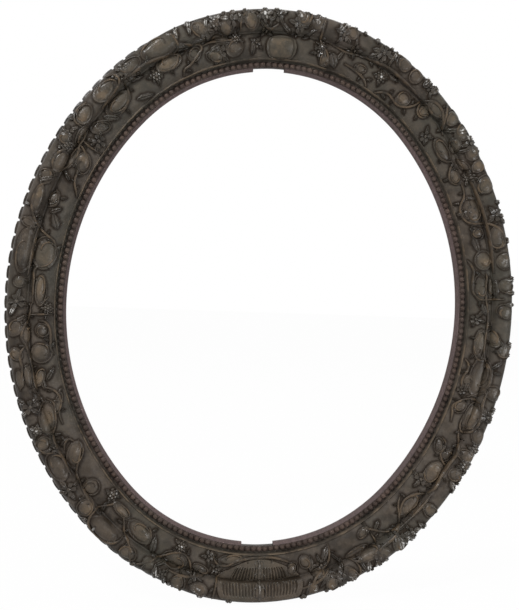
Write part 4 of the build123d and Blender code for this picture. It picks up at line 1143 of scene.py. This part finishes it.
class VINEFRAME_OT_vines(Operator):
    """Lay the vines and the scrolls round the lobes on the front"""

    bl_idname = "vineframe.vines"
    bl_label = "Vines"

    def execute(self, context):
        radius = sizes().vine_radius

        def stems_in(quarter):
            stems = []
            for places in VINES:
                if quarter_of(places[1][0]) == quarter:
                    points = [(OVAL.along(clock), across * MM) for clock, across in places]
                    stems.append(rod(points, radius, "stem"))
            for lobe in lobes_in(quarter):
                if lobe.number % 3 or lobe.row_across < OUTER_LOBE:
                    stems.append(rod(lobe.scroll(), 0.6 * radius, "scroll", 0.9))
            return stems

        lay_quarters(stems_in, "vines", 1.5 * radius, "bronze_vine", "tendrils")
        return {"FINISHED"}


class VINEFRAME_OT_leaves(Operator):
    """Lay the leaves on the front"""

    bl_idname = "vineframe.leaves"
    bl_label = "Leaves"

    def execute(self, context):
        motif = leaf_motif()
        lift = sizes().leaf_lift + MOTIF_SINK
        rows = LEAVES + BUDS + cluster_leaves() + vine_leaflets()

        def copies_in(quarter):
            copies = []
            for clock, *lengths, turn in rows:
                if quarter_of(clock) == quarter:
                    height = (OUTER_LEAF_RAISE if lengths[0] > OUTER_LEAF else 1) * lift
                    lengths = (value * MM for value in lengths)
                    copies.append(copy_laid(motif, clock, *lengths, height, turn))
            return copies

        lay_quarters(copies_in, "vine_leaves", lift, "bronze_bright", "leaves")
        bpy.data.objects.remove(motif)
        return {"FINISHED"}


class VINEFRAME_OT_flowers(Operator):
    """Lay the flowers on the front"""

    bl_idname = "vineframe.flowers"
    bl_label = "Flowers"

    def execute(self, context):
        motif = flower_motif()
        lift = sizes().flower_lift

        def copies_in(quarter):
            rows = [row for row in FLOWERS if quarter_of(row[0]) == quarter]
            return [
                copy_laid(motif, clock, across * MM, radius * MM, radius * MM, lift, 40 * number)
                for number, (clock, across, radius) in enumerate(rows)
            ]

        lay_quarters(copies_in, "blossoms", lift, "bronze_bright", "flowers")
        bpy.data.objects.remove(motif)
        return {"FINISHED"}


class VINEFRAME_OT_grapes(Operator):
    """Lay the bunches of grapes on the front"""

    bl_idname = "vineframe.grapes"
    bl_label = "Grapes"

    def execute(self, context):
        motif = berry_motif()
        shape = points_of(motif)
        lift = sizes().grape_lift

        def bunch(clock, across, radius):
            for ring, count, raised in ((0, 1, 0.45), (1, 6, 0.25), (1.75, 6, 0.05)):
                for number in range(count):
                    turn = 2 * pi * number / count + 0.5 * (ring > 1)
                    out = (across + 1.7 * ring * radius * sin(turn)) * MM
                    along = OVAL.along(clock) + 1.7 * ring * radius * MM * cos(turn)
                    berry = copy_of(motif)
                    move_points(berry, shape * radius * MM + np.array([along, out, raised * lift]))
                    yield berry

        def copies_in(quarter):
            return [berry for row in GRAPES if quarter_of(row[0]) == quarter for berry in bunch(*row)]

        lay_quarters(copies_in, "bunches", lift, "bronze_bright", "grapes")
        bpy.data.objects.remove(motif)
        return {"FINISHED"}


def flat_patch(name, columns, rows, shape):
    """A grid whose unit places a shape function turns into flat places on the band."""
    clear_selection()
    bpy.ops.mesh.primitive_grid_add(x_subdivisions=columns, y_subdivisions=rows, size=2)
    piece = bpy.context.object
    piece.name = name
    points = points_of(piece)
    move_points(piece, np.stack(shape(points[:, 0], points[:, 1]), axis=-1))
    return piece


def shield_shape(x, y):
    """The shield at the top: a smooth swelling with a raised edge."""
    across = SHIELD_ACROSS + SHIELD_HALF_HEIGHT * y * np.sqrt(1 - 0.46 * x**2)
    along = OVAL.along(SHIELD_CLOCK) + SHIELD_HALF_WIDTH * x * np.sqrt(1 - 0.46 * y**2)
    edge = np.maximum(np.abs(x), np.abs(y))
    groove = 0.28 * np.exp(-(((edge - 0.80) / 0.07) ** 2))
    height = np.where(edge > EDGE_SHARE, 0, 0.62 + 0.38 * (1 - edge**2) - groove)
    return along, across, height * SHIELD_LIFT - MOTIF_SINK


def fan_shape(x, y):
    """The fan at the bottom: two rows of upright flutes with a plain band between them."""
    inner = FAN_TOP + FAN_TOP_DROP * x**2
    outer = FAN_FOOT - FAN_FOOT_RISE * x**2
    across = inner + (outer - inner) * (y + 1) / 2
    along = OVAL.along(FAN_CLOCK) + FAN_HALF_WIDTH * x * np.sqrt(1 - 0.38 * (y - 0.1) ** 2)
    aside = np.abs(x)
    rows = [(across > start) & (across < end) & (aside < reach) for start, end, reach in FLUTE_ROWS]
    fluted = np.any(rows, axis=0) & (aside > FLUTE_GAP)
    flute = np.where(fluted, 0.30 * np.cos(FLUTE_RATE * x) - 0.15, 0)
    seam = 0.45 * np.exp(-(((across - VALLEY_MIDDLE) / SEAM_WIDTH) ** 2))
    edge = np.maximum(aside, np.abs(y))
    height = np.where(edge > EDGE_SHARE, 0, 0.75 + flute - seam)
    return along, across, height * FAN_LIFT - MOTIF_SINK


def knot(along, across, reach):
    """Places of a small loop beside the fan's stem."""
    steps = 7
    turns = [2 * pi * number / steps for number in range(steps + 1)]
    return [(along + 0.8 * reach * (1 - cos(turn)), across + abs(reach) * sin(turn)) for turn in turns]


class VINEFRAME_OT_emblems(Operator):
    """Make the shield at the top, and the fan with its knotted stem at the bottom"""

    bl_idname = "vineframe.emblems"
    bl_label = "Shield and fan"

    def execute(self, context):
        shield = flat_patch("shield", 30, 22, shield_shape)
        lay_on_front(shield, SHIELD_CREST)
        fixed(shield, "bronze_lobe", "top_shield")
        fan = flat_patch("fan", 200, 40, fan_shape)
        lay_on_front(fan, FAN_CREST)
        fixed(fan, "bronze_lobe", "bottom_fan", angle=30)
        middle = OVAL.along(STEM_CLOCK)
        stems = [rod([(middle, across) for across in STEM_PLACES], STEM_RADIUS, "upright", STEM_TIPS)]
        for across, reach in KNOTS:
            for side in (-reach, reach):
                stems.append(rod(knot(middle, across, side), KNOT_RADIUS, "knot", 1.0))
        stem = joined(stems, "fan_stem")
        lay_on_front(stem, STEM_CREST)
        fixed(stem, "bronze_bright", "bottom_fan_stem")
        return {"FINISHED"}


def foot_tree():
    """The places on the flat band where ornament meets the moulding."""
    feet = []
    for piece in bpy.data.objects:
        layer = piece.data.attributes.get("flat") if piece.type == "MESH" else None
        if layer:
            flat = np.empty(len(layer.data) * 3)
            layer.data.foreach_get("vector", flat)
            flat = flat.reshape(-1, 3)
            feet.append(flat[np.abs(flat[:, 2]) < FOOT_DEPTH])
    feet = np.concatenate(feet)
    feet[:, 0] %= OVAL.girth
    tree = KDTree(len(feet))
    for number, foot in enumerate(feet):
        tree.insert((foot[0], foot[1], 0), number)
    tree.balance()
    return tree


def front_outline():
    """The moulding's outline, from the ring's front under the lip round to the ring again."""
    outline = [(LIP_WIDTH, RING_HEIGHT), (LIP_WIDTH, SEAT_HEIGHT), (SEAT_EDGE, SEAT_HEIGHT)]
    outline += in_mm(RIDGE_OUTLINE)
    front = np.linspace(FRONT_START, FRONT_END, FRONT_POINTS)
    outline += list(zip(front, front_height(front)))
    roll = np.radians(ROLL_TURNS)
    outline += list(zip(ROLL_ACROSS + ROLL_RADIUS * np.sin(roll), ROLL_BASE + ROLL_RADIUS * np.cos(roll)))
    return outline + [(ROLL_EDGE, SHOULDER_HEIGHT), (BODY_EDGE, BODY_HEIGHT), (BODY_EDGE, RING_HEIGHT)]


def ground_wear(along, across, feet):
    """The moulding's wear and light: grime and painted shade in the pearls' channel, beside it and at the
    ornament's feet, a painted highlight along the ridge, and a level in the valley that keeps it from going
    dark.
    """
    # Grime and painted shade in the pearls' channel, less beside it
    worn = np.where(across > CHANNEL_EDGE, BESIDE_WORN_AND_LIT, CHANNEL_WORN_AND_LIT)
    # Painted highlight along the ridge's crest
    worn[across > RIDGE_START] = RIDGE_HIGHLIGHT
    # Grime and painted shade that deepen towards the feet of the ornament
    for number in np.flatnonzero(across > RIDGE_END):
        gap = feet.find(Vector((along[number] % OVAL.girth, across[number], 0)))[2]
        worn[number] = FRONT_WORN_AND_LIT * min(1, max(0, gap - FOOT_DEPTH) / FOOT_EASE)
    # The valley's level keeps it from being painted dark
    valley = np.abs(across - VALLEY_MIDDLE) < VALLEY_REACH
    worn[valley] = np.maximum(worn[valley], VALLEY_WORN_AND_LIT)
    return worn


class VINEFRAME_OT_moulding(Operator):
    """Spin the front moulding along the four arcs"""

    bl_idname = "vineframe.moulding"
    bl_label = "Front moulding"

    def execute(self, context):
        outline = front_outline()
        feet = foot_tree()
        for (start, span), name in zip(OVAL.arc_spans(), ARC_NAMES):
            steps = round(span * 1.12 / sizes().station)
            piece = turned(f"moulding_{name}", outline, start, span, steps)
            numbers = np.arange(len(piece.data.vertices))
            along = start + span * (numbers // len(outline)) / steps
            across, height = np.array(outline)[numbers % len(outline)].T
            raised = np.where(height > SWELL_HEIGHT, OVAL.swell(along, across), 0)
            move_points(piece, OVAL.place(along, across + raised, height))
            shade(piece, ground_wear(along, across, feet))
            fixed(piece, "bronze_ground", f"front_moulding_{name}", angle=35)
        return {"FINISHED"}


def arc_row(motif, name, outline, worn, pitch, pitch_line, strip_step, lay):
    """For each arc, a strip of moulding and a row of copies of a motif that a function lays and gives a
    level of wear and painted light.
    """
    shape = points_of(motif)
    for (start, span), arc_name in zip(OVAL.arc_spans(), ARC_NAMES):
        shrink = float(OVAL.shrink(start + span / 2, pitch_line))
        count = round(span / shrink / pitch)
        steps = round(span / strip_step) if strip_step else count
        strip = turned(f"{name}_strip", in_mm(outline), start, span, steps)
        shade(strip, worn)
        pieces = [strip]
        for number in range(count):
            copy = copy_of(motif)
            places, copy_worn_and_lit = lay(shape, start + (number + 0.5) * span / count, span / count, shrink)
            move_points(copy, OVAL.place(*places))
            shade(copy, copy_worn_and_lit)
            pieces.append(copy)
        yield joined(pieces, f"{name}_{arc_name}"), arc_name
    bpy.data.objects.remove(motif)


class VINEFRAME_OT_sight_edge(Operator):
    """Make the sight lip and the strings of pearls"""

    bl_idname = "vineframe.sight_edge"
    bl_label = "Sight lip and pearls"

    def execute(self, context):
        for side, (first, last) in LIP_ENDS.items():
            half = 180 * (first > 180)
            clocks = [first, half + LIP_JOINT, half + 180 - LIP_JOINT, last]
            ends = [OVAL.along(clock) for clock in clocks]
            lengths = []
            for start, end in zip(ends, ends[1:]):
                steps = round((end - start) / STRIP_STEP)
                lengths.append(turned("lip", in_mm(LIP_OUTLINE), start, end - start, steps))
            piece = joined(lengths, f"lip_{side}")
            with whole_mesh():
                bpy.ops.mesh.remove_doubles(threshold=0.00002)
            fixed(piece, "sight_lip_finish", f"sight_lip_{side}")

        middle = (LIP_WIDTH + SEAT_EDGE) / 2
        radius = sizes().pearl_radius

        def lay(shape, along, pitch, shrink):
            points = shape * np.array([radius * shrink, PEARL_DEPTH, PEARL_HEIGHT])
            height = SEAT_HEIGHT + PEARL_RISE + points[:, 2]
            # Grime and painted shade low on each pearl, wear and a painted highlight on its top
            worn = np.clip(0.28 + 0.6 * shape[:, 2], 0, 1)
            return (along + points[:, 0], middle + points[:, 1], height), worn

        # The strip under the pearls sits at a middle level, with neither painted shade nor highlight
        settings = (FILLET_OUTLINE, 0.45, sizes().pearl_pitch, middle, 0)
        for piece, name in arc_row(pearl_motif(), "pearls", *settings, lay):
            fixed(piece, "bronze_pearl", f"bead_strip_{name}", angle=60)
        return {"FINISHED"}


class VINEFRAME_OT_rim(Operator):
    """Make the leaf rim round the outer edge"""

    bl_idname = "vineframe.rim"
    bl_label = "Leaf rim"

    def execute(self, context):
        def lay(shape, along, pitch, shrink):
            x, y, z = shape.T
            out = RIM_LEAF_ACROSS + RIM_LEAF_DEPTH * y * (1 - 0.12 * x**2)
            height = RIM_LEAF_BASE + (RIM_LEAF_HEIGHT - RIM_LEAF_SLOPE * y) * z
            # Grime and painted shade under each rim leaf, wear and a painted highlight on its top
            worn = np.clip(0.4 + 0.4 * z, 0, 1)
            return (along + x * (0.46 - 0.03 * y) * pitch, np.minimum(out, RIM_LIMIT), height), worn

        # The strip between the rim leaves is painted dark with grime and shade
        settings = (RIM_OUTLINE, 0.1, sizes().leaf_pitch, RIM_PITCH_LINE, STRIP_STEP)
        for piece, name in arc_row(rim_leaf_motif(), "rim_leaves", *settings, lay):
            fixed(piece, "bronze_rim", f"leaf_rim_{name}")
        return {"FINISHED"}


class VINEFRAME_OT_back(Operator):
    """Give the back ring, its dowels, its screws and its fittings their finishes"""

    bl_idname = "vineframe.back"
    bl_label = "Back and fittings"

    def execute(self, context):
        for name, piece in frame["nodes"].items():
            if name.startswith("back_ring"):
                material = finish("back_wood")
            elif "dowels" in name:
                material = finish("dowel_wood")
            elif name.endswith("screws"):
                material = finish("screw_steel")
            elif name.startswith(("hanger", "turn_button")):
                material = finish("brass_fittings")
            else:
                continue
            piece.data.materials.clear()
            piece.data.materials.append(material)
        return {"FINISHED"}


def white_to_the_eye(tree, kind, lit, share):
    """Shows what is lit as plain white to the camera and in mirror-like or clear surfaces."""
    rays = node(tree, "ShaderNodeLightPath")
    seen = rays.outputs["Is Camera Ray"]
    for name in ("Is Glossy Ray", "Is Transmission Ray"):
        seen = node(tree, "ShaderNodeMath", seen, rays.outputs[name], operation="MAXIMUM").outputs[0]
    white = node(tree, kind, Color=(1, 1, 1), Strength=1.0)
    blend = node(tree, "ShaderNodeMixShader", product(tree, seen, share), lit.outputs[0], white.outputs[0])
    return blend.outputs[0]


def pale_floor():
    """A wide pale floor under the frame that keeps its shadow."""
    clear_selection()
    bpy.ops.mesh.primitive_plane_add(size=FLOOR_SIZE, location=(0, 0, cad_box[0][2]))
    bpy.ops.object.transform_apply(location=True, rotation=True, scale=True)
    floor = bpy.context.object
    floor.name = "floor"
    material, tree, shader = finish_of("pale_floor")
    give(tree, shader, Base_Color=(0.8, 0.8, 0.8), Roughness=0.8)
    surface = white_to_the_eye(tree, "ShaderNodeEmission", shader, FLOOR_SHARE)
    give(tree, node_of(tree, "OUTPUT_MATERIAL"), Surface=surface)
    floor.data.materials.append(material)


def white_world():
    """Soft light from all round, and a white backdrop."""
    world = bpy.data.worlds.new("studio")
    bpy.context.scene.world = world
    world.use_nodes = True
    tree = world.node_tree
    soft = node_of(tree, "BACKGROUND")
    give(tree, soft, Color=(1, 1, 1), Strength=WORLD_STRENGTH)
    surface = white_to_the_eye(tree, "ShaderNodeBackground", soft, 1.0)
    give(tree, node_of(tree, "OUTPUT_WORLD"), Surface=surface)


def lamp(name, place, size, power):
    """A soft square lamp that faces the frame."""
    light = bpy.data.lights.new(name, "AREA")
    light.size = size
    light.energy = power
    shining = bpy.data.objects.new(name, light)
    bpy.context.scene.collection.objects.link(shining)
    shining.location = place
    shining.rotation_euler = (-Vector(place)).to_track_quat("-Z", "Y").to_euler()


def photo_camera():
    """The camera at the photograph's place, turned a little to the left."""
    bearing, rise = radians(BEARING), radians(RISE)
    away = Vector((sin(bearing) * cos(rise), -cos(bearing) * cos(rise), sin(rise)))
    right = Vector((cos(bearing), sin(bearing), 0))
    level = Matrix((right, away.cross(right), away)).transposed()
    camera = bpy.data.cameras.new("camera")
    camera.sensor_fit = "VERTICAL"
    camera.sensor_height = SENSOR
    camera.lens = FOCAL_PIXELS * SENSOR / PHOTO_HEIGHT
    camera.shift_x, camera.shift_y = (shift / PHOTO_HEIGHT for shift in SHIFT_PIXELS)
    viewer = bpy.data.objects.new("camera", camera)
    bpy.context.scene.collection.objects.link(viewer)
    turn = (level @ Matrix.Rotation(radians(TILT), 3, "Z")).to_4x4()
    viewer.matrix_world = Matrix.Translation(away * DISTANCE) @ turn
    bpy.context.scene.camera = viewer


class VINEFRAME_OT_stage(Operator):
    """Set up the floor, the backdrop, the lamps and the camera"""

    bl_idname = "vineframe.stage"
    bl_label = "Stage"

    def execute(self, context):
        context.scene.view_settings.view_transform = "Standard"
        pale_floor()
        white_world()
        for row in LAMPS:
            lamp(*row)
        photo_camera()
        return {"FINISHED"}


class VINEFRAME_PT_panel(Panel):
    """Lists the frame's making steps"""

    bl_label = "Oval vine frame"
    bl_idname = "VINEFRAME_PT_panel"
    bl_space_type = "VIEW_3D"
    bl_region_type = "UI"
    bl_category = "Frame"

    def draw(self, context):
        for step in STEPS:
            self.layout.operator(f"vineframe.{step_name(step)}")


def step_name(step):
    """The name by which Blender calls an operator."""
    return step.__name__.split("_OT_")[1]


# The making steps in their order: the moulding needs the ornament's feet, which are laid before it
STEPS = [
    VINEFRAME_OT_lobes,
    VINEFRAME_OT_vines,
    VINEFRAME_OT_leaves,
    VINEFRAME_OT_flowers,
    VINEFRAME_OT_grapes,
    VINEFRAME_OT_emblems,
    VINEFRAME_OT_moulding,
    VINEFRAME_OT_sight_edge,
    VINEFRAME_OT_rim,
    VINEFRAME_OT_back,
    VINEFRAME_OT_stage,
]
CLASSES = [FrameSizes, FrameColours, *STEPS, VINEFRAME_PT_panel]


def register():
    """Registers the classes and the frame's settings."""
    for each in CLASSES:
        bpy.utils.register_class(each)
    bpy.types.Scene.frame_sizes = PointerProperty(type=FrameSizes)
    bpy.types.Scene.frame_colours = PointerProperty(type=FrameColours)


def unregister():
    """Takes them out again."""
    del bpy.types.Scene.frame_colours
    del bpy.types.Scene.frame_sizes
    for each in reversed(CLASSES):
        bpy.utils.unregister_class(each)


def main():
    """Makes the frame's dressing step by step."""
    register()
    for step in STEPS:
        getattr(bpy.ops.vineframe, step_name(step))()


if __name__ == "__main__":
    main()
